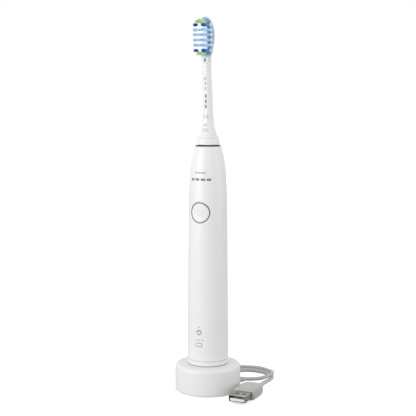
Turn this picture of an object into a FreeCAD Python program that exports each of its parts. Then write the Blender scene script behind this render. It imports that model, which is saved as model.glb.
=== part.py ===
import FreeCAD, Part
import math
import os
import re

import Sketcher
from FreeCAD import Placement, Rotation, Vector

# A sonic toothbrush standing on its round inductive charger, in millimetres.  +Z is up, the origin is
# the middle of the charger's foot, and the brush's front (button and bristles) looks along -Y.

os.makedirs("parts", exist_ok=True)
doc = FreeCAD.newDocument("ToothbrushOnCharger")

# ---------------------------------------------------------------- driving dimensions
SIZES = {
    # charger
    "charger_radius": 23.2, "charger_top": 19.4, "charger_wall": 1.6, "charger_rim": 0.6,
    "charger_edge": 3.0, "peg_radius": 4.6, "peg_height": 7.4, "peg_wall": 0.9,
    "plate_radius": 21.4, "plate_thick": 1.4, "foot_radius": 20.8, "foot_inner": 17.0, "foot_top": 0.9,
    "core_radius": 2.2, "core_low": 5.0, "bobbin_radius": 15.0, "bobbin_hub": 4.2,
    "bobbin_low": 6.2, "bobbin_high": 8.4, "bobbin_flange": 0.8, "winding_radius": 13.6,
    "board_thick": 1.0, "board_low": 4.0, "charger_board": 16.5, "part_gap": 0.1,
    "foot_edge": 0.7, "peg_edge": 1.0, "exit_from": 19.6, "exit_long": 8.0, "exit_room": 12.0,
    # handle
    "handle_foot": 19.6, "cap_top": 23.0, "handle_radius": 14.6, "waist_radius": 13.6,
    "waist_height": 128.0, "shoulder_low": 154.0, "shoulder_low_radius": 12.6,
    "shoulder_high": 167.0, "shoulder_high_radius": 11.0, "handle_top": 173.2,
    "handle_top_radius": 9.3, "waist_bow": 570.0, "shoulder_bow": 71.0, "handle_wall": 1.5,
    "skirt_top": 30.0, "cap_edge": 1.2, "recess_radius": 4.95, "recess_top": 27.3,
    "skirt_wall": 1.8, "groove_depth": 0.8, "groove_low": 2.0, "groove_top": 3.6,
    "groove_cord": 0.36, "cap_floor": 1.6, "recess_wall": 1.1, "top_edge": 0.8, "top_lip": 0.3,
    "seam_gap": 0.25, "seal_radius": 8.9, "seal_top": 173.8, "seal_thick": 2.2,
    "seal_play": 0.12, "seal_proud": 0.02,
    # button
    "button_height": 127.8, "button_radius": 6.55, "ring_inner": 6.7, "ring_outer": 7.4,
    "button_depth": 2.0, "stem_radius": 1.6, "stem_root": 9.3, "skin_half": 9.0,
    "ring_proud": 0.06, "cap_rebate": 0.5, "reach_inside": 4.0, "membrane_radius": 6.4,
    "membrane_thick": 0.5, "membrane_front": 8.7,
    # inside the handle
    "chassis_half": 9.6, "chassis_low": 33.0, "chassis_high": 112.0, "chassis_front": -4.4,
    "chassis_thick": 1.6, "battery_radius": 7.0, "battery_low": 42.0, "battery_long": 50.0,
    "battery_back": 4.5, "tab_thick": 0.3, "main_low": 35.0, "main_high": 138.0,
    "main_half": 8.6, "main_front": -7.6, "main_thick": 1.2,
    "chip_gap": 0.05, "rib_deep": 8.6, "rib_thick": 1.4, "rib_clear": 3.0, "tab_wide": 5.0,
    "tab_deep": 9.0, "light_wide": 1.6, "light_thick": 0.8, "light_high": 1.2,
    "guide_wide": 7.6, "guide_thick": 2.4, "guide_high": 13.0, "guide_front": 11.6,
    "guide_low": 36.4, "switch_wide": 5.0, "switch_thick": 1.0, "pad_wide": 9.0,
    "pad_deep": 6.0, "pad_thick": 1.1,
    "receiver_radius": 9.6, "receiver_inner": 6.9, "receiver_low": 24.6, "receiver_high": 3.6,
    "ferrite_low": 29.0, "ferrite_thick": 1.3,
    # drive
    "shaft_radius": 1.9, "shaft_low": 117.0, "shaft_top": 190.0, "flat_depth": 0.5,
    "bearing_radius": 5.0, "bearing_long": 4.0, "rear_bearing": 118.6, "front_bearing": 167.5,
    "motor_radius": 10.1, "motor_top": 155.8, "arch_thick": 1.6, "arch_front": 4.6,
    "rail_wide": 1.5, "rail_deep": 5.0, "rail_side": 8.55, "screw_radius": 1.5,
    "screw_high": 1.2, "screw_side": 6.6, "screw_back": 3.6, "leg_wide": 2.3, "leg_deep": 7.0,
    "leg_side": 6.5, "yoke_deep": 2.0, "magnet_low": 140.0, "magnet_long": 12.0,
    "magnet_thick": 1.0, "magnet_deep": 3.4, "magnet_side": 3.93, "carrier_radius": 3.4,
    "carrier_over": 2.0, "winding_outer": 2.4, "winding_inner": 0.9, "winding_high": 10.0,
    "winding_side": 5.0, "winding_back": 3.4, "winding_low": 124.6, "spring_radius": 2.9,
    "spring_low": 124.0, "spring_high": 12.0, "flat_high": 13.0,
    # brush head
    "head_foot": 174.3, "head_radius": 8.85, "base_top": 178.9, "base_top_radius": 7.2,
    "plate_front": 4.9, "plate_split": 2.3, "plate_rear": 0.5, "head_tilt": 2.4,
    "tilt_height": 238.5,
    "head_bore": 4.4, "head_edge": 0.5, "neck_bite": 1.0, "seat_deep": 6.0, "core_shrink": 0.5,
    "insert_flare": 4.3, "flare_high": 2.0, "tag_outer": 4.2, "tag_inner": 3.2, "tag_thick": 0.4,
    "tag_low": 177.9, "insert_radius": 3.0, "insert_low": 175.2, "insert_top": 191.0, "socket_fit": 0.05,
    "tongue_foot": 229.5, "head_tip": 261.6, "tuft_radius": 0.85, "tuft_long": 10.3,
    "tuft_short": 9.0,
    # lead and plug
    "cord_radius": 1.35, "exit_angle": 50.0, "exit_height": 3.5, "relief_reach": 29.0,
    "relief_start": 21.0, "relief_root": 2.7, "relief_tip": 1.75, "coil_mean": 15.0, "coil_half": 6.75,
    "coil_high": 5.4, "coil_side": -22.7, "coil_back": 42.9,
    "plug_side": 34.0, "plug_front": -25.8, "plug_turn": 0.3, "shell_wide": 12.0,
    "shell_high": 4.5, "shell_long": 12.0, "shell_wall": 0.3, "shell_lift": 1.75,
    "grip_wide": 15.8, "grip_high": 8.0, "grip_long": 21.0, "grip_edge": 2.6,
    "window_wide": 2.2, "window_long": 2.4, "window_from": 5.2, "window_side": 2.6,
    "tongue_high": 1.9, "tongue_wide": 11.0, "tongue_inset": 0.55, "contact_thick": 0.12,
    "contact_wide": 1.1, "contact_long": 8.0, "contact_inset": 1.4,
}
ALIAS = re.compile(r"[a-z]+(?:_[a-z]+)+")

sheet = doc.addObject("Spreadsheet::Sheet", "Size")
for row, (alias, number) in enumerate(SIZES.items(), start=1):
    sheet.set(f"A{row}", alias)
    sheet.set(f"B{row}", str(number))
    sheet.setAlias(f"B{row}", alias)
doc.recompute()

UP = Vector(0, 0, 1)
BACK = Vector(0, 1, 0)
nodes = []


def bound(expression):
    """The expression with every alias written as a cell of the sheet."""
    return ALIAS.sub(lambda found: "Size." + found.group(), str(expression))


def size(expression):
    """The number that an expression of aliases gives."""
    return float(sheet.evalExpression(bound(expression)))


def keep(item, label):
    """Name a finished sub-part, and add it to the pieces that are written out."""
    item.Label = label
    nodes.append(item)
    return item


# ---------------------------------------------------------------- sketches and bodies
def new_sketch(body, role, offset="0"):
    """An empty sketch on an origin plane of its own body, moved along that plane's normal."""
    plane = next(p for p in body.Origin.OriginFeatures if p.Role == role)
    sketch = body.newObject("Sketcher::SketchObject", "Sketch")
    sketch.AttachmentSupport = (plane, [""])
    sketch.MapMode = "FlatFace"
    sketch.setExpression("AttachmentOffset.Base.z", bound(offset))
    return sketch


def arc_between(start, end, radius):
    """The short arc of a circle; a positive radius bows to the right of the way it is drawn."""
    middle = (start + end) / 2
    along = end - start
    right = Vector(along.y, -along.x, 0).normalize()
    reach = math.sqrt(radius ** 2 - (along.Length / 2) ** 2)
    centre = middle - right * math.copysign(reach, radius)
    top = centre + (middle - centre).normalize() * abs(radius)
    return Part.Arc(start, top, end), radius > 0


def draw_outline(sketch, outline):
    """A closed, fully dimensioned outline.  A corner is (across, up), and one with a third entry is
    reached by an arc of that radius, positive when it bows to the right of the way it is drawn."""
    corners = [Vector(size(corner[0]), size(corner[1]), 0) for corner in outline]
    ends = []
    for index, corner in enumerate(outline):
        edge, forward = Part.LineSegment(corners[index - 1], corners[index]), True
        if len(corner) == 3:
            edge, forward = arc_between(corners[index - 1], corners[index], size(corner[2]))
        sketch.addGeometry(edge, False)
        ends.append((1, 2) if forward else (2, 1))
    for index, corner in enumerate(outline):
        following = (index + 1) % len(outline)
        rules = [Sketcher.Constraint("Coincident", index, ends[index][1], following, ends[following][0])]
        rules.append(Sketcher.Constraint("DistanceX", -1, 1, index, ends[index][1], corners[index].x))
        rules.append(Sketcher.Constraint("DistanceY", -1, 1, index, ends[index][1], corners[index].y))
        expressions = [None, corner[0], corner[1]]
        if len(corner) == 3:
            rules.append(Sketcher.Constraint("Radius", index, abs(size(corner[2]))))
            expressions.append(f"abs({corner[2]})")
        for rule, expression in zip(rules, expressions):
            number = sketch.addConstraint(rule)
            if expression is not None:
                sketch.setExpression(f"Constraints[{number}]", bound(expression))


def draw_circle(sketch, radius, across="0", up="0"):
    """A circle with its centre and radius dimensioned."""
    centre = Vector(size(across), size(up), 0)
    index = sketch.addGeometry(Part.Circle(centre, UP, size(radius)), False)
    rules = [Sketcher.Constraint("DistanceX", -1, 1, index, 3, centre.x),
             Sketcher.Constraint("DistanceY", -1, 1, index, 3, centre.y),
             Sketcher.Constraint("Radius", index, size(radius))]
    for rule, expression in zip(rules, (across, up, radius)):
        sketch.setExpression(f"Constraints[{sketch.addConstraint(rule)}]", bound(expression))


def turned(label, outline, finished=True):
    """A body revolved about the vertical axis from an outline of (radius, height) corners."""
    body = doc.addObject("PartDesign::Body", "Turned")
    sketch = new_sketch(body, "XZ_Plane")
    draw_outline(sketch, outline)
    feature = body.newObject("PartDesign::Revolution", "Revolution")
    feature.Profile = sketch
    feature.ReferenceAxis = (sketch, ["V_Axis"])
    feature.Angle = 360
    doc.recompute()
    return keep(body, label) if finished else body


def padded(outline, role, offset, length, backward=False):
    """A body padded from an outline on an origin plane; the XZ plane's pads grow towards -Y."""
    body = doc.addObject("PartDesign::Body", "Padded")
    sketch = new_sketch(body, role, offset)
    draw_outline(sketch, outline)
    pad = body.newObject("PartDesign::Pad", "Pad")
    pad.Profile = sketch
    pad.Reversed = backward
    pad.setExpression("Length", bound(length))
    doc.recompute()
    return body


def fillet_body(body, radius, wanted):
    """Round the edges of a body's tip that a test picks out."""
    tip = body.Tip
    edges = [f"Edge{n}" for n, edge in enumerate(tip.Shape.Edges, start=1) if wanted(edge)]
    rounding = body.newObject("PartDesign::Fillet", "Fillet")
    rounding.Base = (tip, edges)
    rounding.setExpression("Radius", bound(radius))
    body.Tip = rounding
    doc.recompute()
    return body


# ---------------------------------------------------------------- primitives and booleans
def place(item, across="0", depth="0", up="0", rotation=None):
    """Put an object at a point given as expressions, turned by a rotation."""
    if rotation is not None:
        item.Placement = Placement(Vector(0, 0, 0), rotation)
    for axis, expression in zip("xyz", (across, depth, up)):
        item.setExpression(f"Placement.Base.{axis}", bound(expression))
    return item


def block(wide, deep, high, across="0", depth="0", up="0"):
    """A box centred on its width, with its near face at depth and its underside at up."""
    item = doc.addObject("Part::Box", "Block")
    item.setExpression("Length", bound(wide))
    item.setExpression("Width", bound(deep))
    item.setExpression("Height", bound(high))
    return place(item, f"{across} - ({wide}) / 2", depth, up)


def rod(radius, length, across="0", depth="0", up="0", direction=UP):
    """A round bar from a point along a direction."""
    item = doc.addObject("Part::Cylinder", "Rod")
    item.setExpression("Radius", bound(radius))
    item.setExpression("Height", bound(length))
    return place(item, across, depth, up, Rotation(UP, direction))


def cut(base, *tools):
    """One object less the others."""
    for tool in tools:
        item = doc.addObject("Part::Cut", "Cut")
        item.Base = base
        item.Tool = tool
        base = item
    return base


def fused(*items):
    """Several objects made one."""
    item = doc.addObject("Part::MultiFuse", "Fusion")
    item.Shapes = list(items)
    return item


def grouped(*items):
    """Separate solids that share one node."""
    item = doc.addObject("Part::Compound", "Group")
    item.Links = list(items)
    return item


def tube(outer, inner, length, across="0", depth="0", up="0", direction=UP):
    """A round bar with a round bore right through."""
    bar = rod(outer, length, across, depth, up, direction)
    bore = rod(inner, length, across, depth, up, direction)
    return cut(bar, bore)


# ---------------------------------------------------------------- charger
# Chips on the charger's board: width, depth, height, place across and towards the back.
CHARGER_CHIPS = [("5", "4", "1.0", "-6", "-9"), ("4.6", "4.6", "1.1", "6", "-10.3"),
                 ("3", "2", "1.0", "-9", "4"), ("2", "1.2", "0.8", "0", "-12")]


def make_charger():
    """The round puck: a moulded cover with a peg, its underside, and the transmitter inside."""
    turned_cover = turned("charger_cover_turned", [
        ("charger_radius - charger_wall", "charger_rim"),
        ("charger_radius - foot_edge", "charger_rim"),
        ("charger_radius", "charger_rim + foot_edge", "foot_edge"),
        ("charger_radius", "charger_top - charger_edge"),
        ("charger_radius - charger_edge", "charger_top", "charger_edge"),
        ("peg_radius", "charger_top"),
        ("peg_radius", "charger_top + peg_height - peg_edge"),
        ("peg_radius - peg_edge", "charger_top + peg_height", "peg_edge"),
        ("0", "charger_top + peg_height"),
        ("0", "charger_top + peg_height - peg_wall"),
        ("peg_radius - peg_wall", "charger_top + peg_height - peg_wall"),
        ("peg_radius - peg_wall", "charger_top - charger_wall"),
        ("charger_radius - charger_wall", "charger_top - charger_wall"),
    ], finished=False)
    notch = Rotation(UP, size("exit_angle"))
    hole_across = f"exit_from * cos({SIZES['exit_angle']})"
    hole_depth = f"exit_from * sin({SIZES['exit_angle']})"
    outward = notch.multVec(Vector(1, 0, 0))
    exit_hole = rod("relief_root", "exit_long", hole_across, hole_depth, "exit_height", outward)
    keep(cut(turned_cover, exit_hole), "charger_cover")

    relief = doc.addObject("Part::Cone", "Relief")
    relief.setExpression("Radius1", bound("relief_root"))
    relief.setExpression("Radius2", bound("relief_tip"))
    relief.setExpression("Height", bound("relief_reach - relief_start"))
    start = "relief_start"
    place(relief, f"{start} * cos({SIZES['exit_angle']})", f"{start} * sin({SIZES['exit_angle']})",
          "exit_height", Rotation(UP, outward))
    keep(relief, "cord_relief")

    base_disc = rod("plate_radius", "plate_thick", up="foot_top")
    relief_room = rod("relief_root + part_gap", "exit_room", hole_across, hole_depth, "exit_height", outward)
    keep(cut(base_disc, relief_room), "charger_base_plate")
    keep(tube("foot_radius", "foot_inner", "foot_top"), "foot_pad")
    keep(rod("core_radius", "charger_top + peg_height - peg_wall - core_low - 3 * part_gap", up="core_low"),
         "transmitter_core")
    core_bore = rod("core_radius + part_gap", "bobbin_high", up="bobbin_low")
    keep(cut(fused(rod("bobbin_radius", "bobbin_flange", up="bobbin_low"),
                   rod("bobbin_hub", "bobbin_high", up="bobbin_low"),
                   rod("bobbin_radius", "bobbin_flange", up="bobbin_low + bobbin_high - bobbin_flange")),
             core_bore), "transmitter_bobbin")
    keep(tube("winding_radius", "bobbin_hub + part_gap", "bobbin_high - 2 * bobbin_flange - 2 * part_gap",
              up="bobbin_low + bobbin_flange + part_gap"), "transmitter_coil")
    board = rod("charger_board", "board_thick", up="board_low")
    board_room = rod("relief_root + 2 * part_gap", "exit_room", hole_across, hole_depth, "exit_height",
                     outward)
    core_room = rod("core_radius + 3 * part_gap", "3 * board_thick", up="board_low - board_thick")
    keep(cut(board, board_room, core_room), "charger_board")
    chip_foot = "board_low + board_thick + chip_gap"
    chips = [block(wide, deep, high, across, depth, chip_foot)
             for wide, deep, high, across, depth in CHARGER_CHIPS]
    keep(grouped(*chips), "charger_board_parts")


# ---------------------------------------------------------------- handle casing
def make_casing():
    """The handle's one-piece shell, its end cap with the peg's recess, and their seals."""
    outer = [("handle_radius", "cap_top + seam_gap"),
             ("waist_radius", "waist_height"),
             ("shoulder_low_radius", "shoulder_low", "waist_bow"),
             ("shoulder_high_radius", "shoulder_high", "shoulder_bow"),
             ("handle_top_radius + top_lip", "handle_top - top_edge"),
             ("handle_top_radius + top_lip - top_edge", "handle_top", "top_edge")]
    inner = [("bearing_radius + part_gap", "handle_top"),
             ("bearing_radius + part_gap", "shoulder_high + 2"),
             ("shoulder_high_radius - 3", "shoulder_high - 1"),
             ("shoulder_low_radius - handle_wall", "shoulder_low"),
             ("waist_radius - handle_wall", "waist_height", "-waist_bow"),
             ("handle_radius - handle_wall", "cap_top + seam_gap")]
    shell = turned("shell_turned", outer + inner, finished=False)
    window = rod("ring_outer", "handle_radius", up="button_height", direction=-BACK)
    keep(cut(shell, window), "handle_shell")

    skirt = "handle_radius - handle_wall - part_gap"
    turned("end_cap", [
        ("recess_radius", "handle_foot"),
        ("handle_radius - cap_edge", "handle_foot"),
        ("handle_radius", "handle_foot + cap_edge", "cap_edge"),
        ("handle_radius", "cap_top"),
        (skirt, "cap_top"),
        (skirt, "cap_top + groove_low"),
        (f"{skirt} - groove_depth", "cap_top + groove_low"),
        (f"{skirt} - groove_depth", "cap_top + groove_top"),
        (skirt, "cap_top + groove_top"),
        (skirt, "skirt_top"),
        (f"{skirt} - skirt_wall", "skirt_top"),
        (f"{skirt} - skirt_wall", "cap_top - cap_floor"),
        ("recess_radius + recess_wall", "cap_top - cap_floor"),
        ("recess_radius + recess_wall", "recess_top + recess_wall"),
        ("0", "recess_top + recess_wall"),
        ("0", "recess_top"),
        ("recess_radius", "recess_top"),
    ])
    ring = doc.addObject("Part::Torus", "CapRing")
    ring.setExpression("Radius1", bound(f"{skirt} - groove_depth / 2"))
    ring.setExpression("Radius2", bound("groove_cord"))
    place(ring, up="cap_top + (groove_low + groove_top) / 2")
    keep(ring, "end_cap_seal")
    turned("shaft_seal", [
        ("shaft_radius + seal_play", "seal_top - seal_thick"),
        ("bearing_radius - part_gap", "seal_top - seal_thick"),
        ("bearing_radius - part_gap", "handle_top + seal_proud"),
        ("seal_radius", "handle_top + seal_proud"),
        ("seal_radius", "seal_top"),
        ("shaft_radius + seal_play", "seal_top"),
    ])
    keep(tube("receiver_radius", "receiver_inner", "receiver_high", up="receiver_low"), "receiver_coil")
    keep(tube("receiver_radius", "core_radius", "ferrite_thick", up="ferrite_low"), "receiver_ferrite")


def make_button():
    """The power button: a bezel ring, a sprung cap with its stem, and a rubber membrane behind."""
    skin = turned("button_skin", [
        ("waist_radius - button_depth", "button_height - skin_half"),
        ("waist_radius + ring_proud", "button_height - skin_half"),
        ("waist_radius + ring_proud", "button_height + skin_half"),
        ("waist_radius - button_depth", "button_height + skin_half"),
    ], finished=False)

    def front(radius, inner="0"):
        """A round plug through the front wall, or a ring with an inner radius."""
        bar = rod(radius, "handle_radius", depth="-reach_inside", up="button_height", direction=-BACK)
        if inner == "0":
            return bar
        bore = rod(inner, "handle_radius", depth="-reach_inside", up="button_height", direction=-BACK)
        return cut(bar, bore)

    bezel = doc.addObject("Part::Common", "Bezel")
    bezel.Base = skin
    bezel.Tool = front("ring_outer - 0.02", "ring_inner")
    keep(bezel, "button_ring")

    cap = doc.addObject("Part::Common", "Cap")
    cap.Base = turned("cap_skin", [
        ("waist_radius - button_depth + cap_rebate", "button_height - skin_half"),
        ("waist_radius", "button_height - skin_half"),
        ("waist_radius", "button_height + skin_half"),
        ("waist_radius - button_depth + cap_rebate", "button_height + skin_half"),
    ], finished=False)
    cap.Tool = front("button_radius")
    stem = rod("stem_radius", "waist_radius - 1 - stem_root", depth="-stem_root", up="button_height",
               direction=-BACK)
    keep(fused(cap, stem), "power_button")

    membrane = tube("membrane_radius", "stem_radius + 0.6", "membrane_thick", depth="-membrane_front",
                    up="button_height", direction=-BACK)
    keep(membrane, "button_membrane")


# ---------------------------------------------------------------- inside the handle
# Chips on the main board: width, thickness, height, place across and up.
MAIN_CHIPS = [("7", "1.1", "7", "0", "72"), ("4", "1.1", "5", "-3", "60"), ("3", "1.0", "3", "4", "88"),
              ("5", "1.6", "3", "2", "104")]
# Lights on the main board: place across and up.
LIGHTS = [("0", "47.1"), ("0", "43.2"), ("-2.4", "38"), ("0", "38"), ("2.4", "38")]


def make_power():
    """Chassis, rechargeable cell, circuit board and the lights behind the front wall."""
    plate = block("2 * chassis_half", "chassis_thick", "chassis_high - chassis_low",
                  depth="chassis_front", up="chassis_low")
    ribs = [block("2 * chassis_half - 1", "rib_deep", "rib_thick", depth="chassis_front", up=height)
            for height in ("chassis_low", "battery_low - rib_clear", "battery_low + battery_long + rib_clear",
                           "chassis_high - rib_thick")]
    keep(fused(plate, *ribs), "inner_chassis")
    keep(rod("battery_radius", "battery_long", depth="battery_back", up="battery_low"), "battery_cell")
    keep(grouped(
        block("tab_wide", "tab_deep", "tab_thick", depth="-1", up="battery_low - tab_thick - chip_gap"),
        block("tab_wide", "tab_deep", "tab_thick", depth="-1", up="battery_low + battery_long + chip_gap")),
        "battery_tabs")
    keep(block("2 * main_half", "main_thick", "main_high - main_low", depth="main_front", up="main_low"),
         "main_board")
    keep(grouped(*[block(wide, thick, high, across, f"main_front - {thick} - chip_gap", up)
                   for wide, thick, high, across, up in MAIN_CHIPS]), "main_board_parts")
    keep(grouped(*[block("light_wide", "light_thick", "light_high", across,
                         "main_front - light_thick - chip_gap", up) for across, up in LIGHTS]),
         "indicator_lights")
    guide = block("guide_wide", "guide_thick", "guide_high", depth="-guide_front", up="guide_low")
    keep(guide, "light_guide")
    keep(block("switch_wide", "switch_thick", "switch_wide", depth="main_front - switch_thick - chip_gap",
               up="button_height - switch_wide / 2"), "tact_switch")
    keep(block("pad_wide", "pad_deep", "pad_thick", depth="-2",
               up="battery_low - tab_thick - pad_thick - 3 * chip_gap"), "damping_pad")


def make_motor():
    """The magnetic drive: frame, laminated stator, winding, bearings, and the shaft that swings."""
    def arch(low):
        """A round end plate whose front is cut flat, clear of the circuit board."""
        slug = rod("motor_radius", "arch_thick", up=low)
        return cut(slug, block("4 * motor_radius", "2 * motor_radius", "arch_thick",
                               depth="-2 * motor_radius - arch_front", up=low))

    room = rod("bearing_radius", "motor_top - shaft_low + 1", up="shaft_low")
    plates = [arch(low) for low in ("shaft_low", "motor_top - arch_thick")]
    rails = [block("rail_wide", "rail_deep", "motor_top - 1 - shaft_low", across, "-1", "shaft_low")
             for across in ("-rail_side", "rail_side")]
    keep(cut(fused(*plates, *rails), room), "motor_frame")
    keep(grouped(*[rod("screw_radius", "screw_high", across, "screw_back", "motor_top + chip_gap")
                   for across in ("-screw_side", "screw_side")]), "motor_screws")
    stack_low, stack_high = "magnet_low - carrier_over", "magnet_long + 2 * carrier_over"
    legs = [block("leg_wide", "leg_deep", stack_high, across, "-2", stack_low)
            for across in ("-leg_side", "leg_side")]
    yoke = block("2 * leg_side + leg_wide", "yoke_deep", stack_high, depth="leg_deep - yoke_deep",
                 up=stack_low)
    keep(fused(*legs, yoke), "stator_stack")
    keep(grouped(*[tube("winding_outer", "winding_inner", "winding_high", across, "winding_back",
                        "winding_low") for across in ("-winding_side", "winding_side")]), "drive_coils")
    bushes = (("rear_bush", "rear_bearing - 1.55"), ("front_bush", "front_bearing"))
    for label, low in bushes:
        keep(tube("bearing_radius - chip_gap", "shaft_radius + seal_proud", "bearing_long", up=low), label)

    bar = rod("shaft_radius", "shaft_top - shaft_low", up="shaft_low")
    flat = block("2 * insert_radius", "shaft_radius", "flat_high + 1", depth="shaft_radius - flat_depth",
                 up="shaft_top - flat_high")
    keep(cut(bar, flat), "drive_shaft")
    keep(tube("carrier_radius", "shaft_radius + 0.01", stack_high, up=stack_low), "magnet_carrier")
    keep(grouped(*[block("magnet_thick", "magnet_deep", "magnet_long", across, "-magnet_deep / 2",
                         "magnet_low") for across in ("-magnet_side", "magnet_side")]), "rotor_magnets")
    keep(tube("spring_radius", "shaft_radius + 0.01", "spring_high", up="spring_low"), "return_spring")


# ---------------------------------------------------------------- brush head
NECK = [("base_top", "7.1", "0"), ("181.6", "5.95", "0"), ("184.4", "5.05", "0"),
        ("187.6", "4.35", "0"), ("192", "3.8", "0.05"), ("199", "3.4", "0.3"), ("208", "3.3", "0.7"),
        ("218", "3.1", "1.4"), ("226", "3.05", "2.1"), ("231", "2.9", "2.5"), ("238", "1.9", "2.6")]
# Half the bristle plate's outline: height above the tongue's foot, half width.
PLATE = [("0", "0"), ("0.6", "1.5"), ("1.8", "2.3"), ("4.4", "2.7"), ("6.6", "3.6"), ("9.0", "4.6"),
         ("13.9", "5.8"), ("19.4", "6.4"), ("24.8", "5.8"), ("28.7", "4.3"), ("30.8", "2.7"),
         ("head_tip - tongue_foot", "0")]


def lean(item):
    """Tilt a piece of the bristle head forward about a crosswise line in the plate's back."""
    item.Placement = Placement(Vector(0, 0, 0), Rotation(Vector(1, 0, 0), size("head_tilt")),
                               Vector(0, -size("plate_split"), size("tilt_height")))
    return item


def smooth_plate(front, thickness, shrink):
    """A flat plate with a smooth egg outline, from its front backwards, tilted with the head."""
    points = [Vector(max(size(half) - shrink * (size(half) > 0), 0), 0, size("tongue_foot") + size(up))
              for up, half in PLATE]
    mirrored = [Vector(-point.x, 0, point.z) for point in reversed(points[1:-1])]
    curve = Part.BSplineCurve()
    curve.interpolate(Points=points + mirrored, PeriodicFlag=True)
    face = Part.Face(Part.Wire(curve.toShape()))
    face.translate(Vector(0, -size(front), 0))
    item = doc.addObject("Part::Feature", "Plate")
    item.Shape = face.extrude(Vector(0, size(thickness), 0))
    return lean(item)


def make_head():
    """The push-on head: base ring, bowed neck, its socket, the bristle plate and the tufts."""
    turned("head_base_ring", [
        ("head_bore", "head_foot"), ("head_radius - head_edge", "head_foot"),
        ("head_radius", "head_foot + head_edge", "head_edge"), ("base_top_radius", "base_top - 0.02"),
        ("head_bore", "base_top - 0.02"),
    ])
    neck = doc.addObject("PartDesign::Body", "Neck")
    sections = []
    for height, radius, forward in NECK:
        section = new_sketch(neck, "XY_Plane", height)
        draw_circle(section, radius, up=f"-({forward})")
        sections.append(section)
    loft = neck.newObject("PartDesign::AdditiveLoft", "NeckLoft")
    loft.Profile = sections[0]
    loft.Sections = sections[1:]
    doc.recompute()
    spine = smooth_plate("plate_split", "plate_split - plate_rear", size("core_shrink"))
    seat = smooth_plate("plate_split + seat_deep", "seat_deep", -0.02)
    socket = rod("insert_radius + 0.02", "insert_top - base_top + neck_bite + 0.02",
                 up="base_top - neck_bite")
    keep(cut(fused(neck, spine), seat, socket), "head_neck")
    keep(smooth_plate("plate_front", "plate_front - plate_split - 0.02", 0.0), "bristle_plate")

    flare = rod("insert_flare", "flare_high", up="insert_low")
    body = fused(flare, rod("insert_radius", "insert_top - insert_low", up="insert_low"))
    bore = rod("shaft_radius + socket_fit", "shaft_top + 0.3 - insert_low", up="insert_low")
    flat = block("2 * insert_radius", "shaft_radius", "flat_high",
                 depth="shaft_radius - flat_depth + socket_fit", up="shaft_top + 0.3 - flat_high")
    keep(cut(body, cut(bore, flat)), "shaft_socket")
    keep(tube("tag_outer", "tag_inner", "tag_thick", up="tag_low"), "head_tag")


# Tufts by colour: distance to each side of the middle (0 is a single one) and height.
TUFTS = {
    "tufts_deep_blue": [("3.0", "238.8"), ("3.0", "255.9")],
    "tufts_light_blue": [("3.2", "242.4"), ("3.3", "245.8"), ("3.3", "249.4"), ("3.2", "252.6")],
    "tufts_green": [("0.9", "236.7"), ("1.6", "257.9"), ("0", "258.9")],
    "tufts_white": [("0", "238.8"), ("1.25", "240.6"), ("1.25", "244.1"), ("1.25", "247.6"),
                    ("1.25", "251.0"), ("1.25", "254.2"), ("0", "256.1")],
}


def make_tufts():
    """Bristle tufts by colour, each a plain bar that stands on the plate and points forward."""
    for label, rows in TUFTS.items():
        length = "tuft_short" if label == "tufts_white" else "tuft_long"
        bars = []
        for offset, up in rows:
            for across in ["0"] if offset == "0" else [f"-{offset}", offset]:
                bars.append(rod("tuft_radius", length, across, "-plate_front", up, -BACK))
        keep(lean(grouped(*bars)), label)


# ---------------------------------------------------------------- lead and plug
LEAD_ROUTE = [(18.64, 22.22, 3.5), (21.6, 25.7, 2.9), (28.3, 30.6, 2.9), (32.1, 34.7, 4.2),
              (33.3, 40.8, 4.3), (30.8, 47.5, 4.2), (26.9, 53.2, 2.6), (21.7, 58.9, 1.6),
              (13.9, 62.3, 1.35), (7.0, 61.0, 1.35), (-0.8, 58.2, 1.35), (-9.6, 59.9, 1.35),
              (-18.0, 62.8, 1.35)]
TAIL_ROUTE = [(-4.8, 33.2, 4.05), (0.6, 41.3, 2.6), (4.7, 49.6, 1.5), (10.8, 53.5, 1.35),
              (20.7, 53.0, 1.35), (26.8, 49.6, 1.35), (32.4, 44.2, 1.35), (33.3, 36.9, 1.35),
              (32.6, 28.0, 1.35), (32.6, 20.8, 1.45), (33.8, 13.65, 2.9), (33.83, 7.35, 4.0)]
ARC_SHARE = 0.45
CONTACTS = ("-3.6", "-1.1", "1.1", "3.6")


def rounded_path(label, route):
    """Straight runs joined by tangent arcs, each as large as its two runs allow."""
    points = [Vector(*point) for point in route]
    edges = []
    radii = []
    start = points[0]
    for before, corner, after in zip(points, points[1:], points[2:]):
        arriving = (corner - before).normalize()
        leaving = (after - corner).normalize()
        half_turn = arriving.getAngle(leaving) / 2
        reach = ARC_SHARE * min((corner - before).Length, (after - corner).Length)
        radius = reach / math.tan(half_turn)
        radii.append(round(radius, 1))
        first = corner - arriving * reach
        last = corner + leaving * reach
        towards_centre = (leaving - arriving).normalize()
        crown = corner + towards_centre * (radius / math.cos(half_turn) - radius)
        edges.append(Part.LineSegment(start, first).toShape())
        edges.append(Part.Arc(first, crown, last).toShape())
        start = last
    edges.append(Part.LineSegment(start, points[-1]).toShape())
    print(label, "radii", radii, "least", min(radii))
    return Part.Wire(edges)


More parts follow.
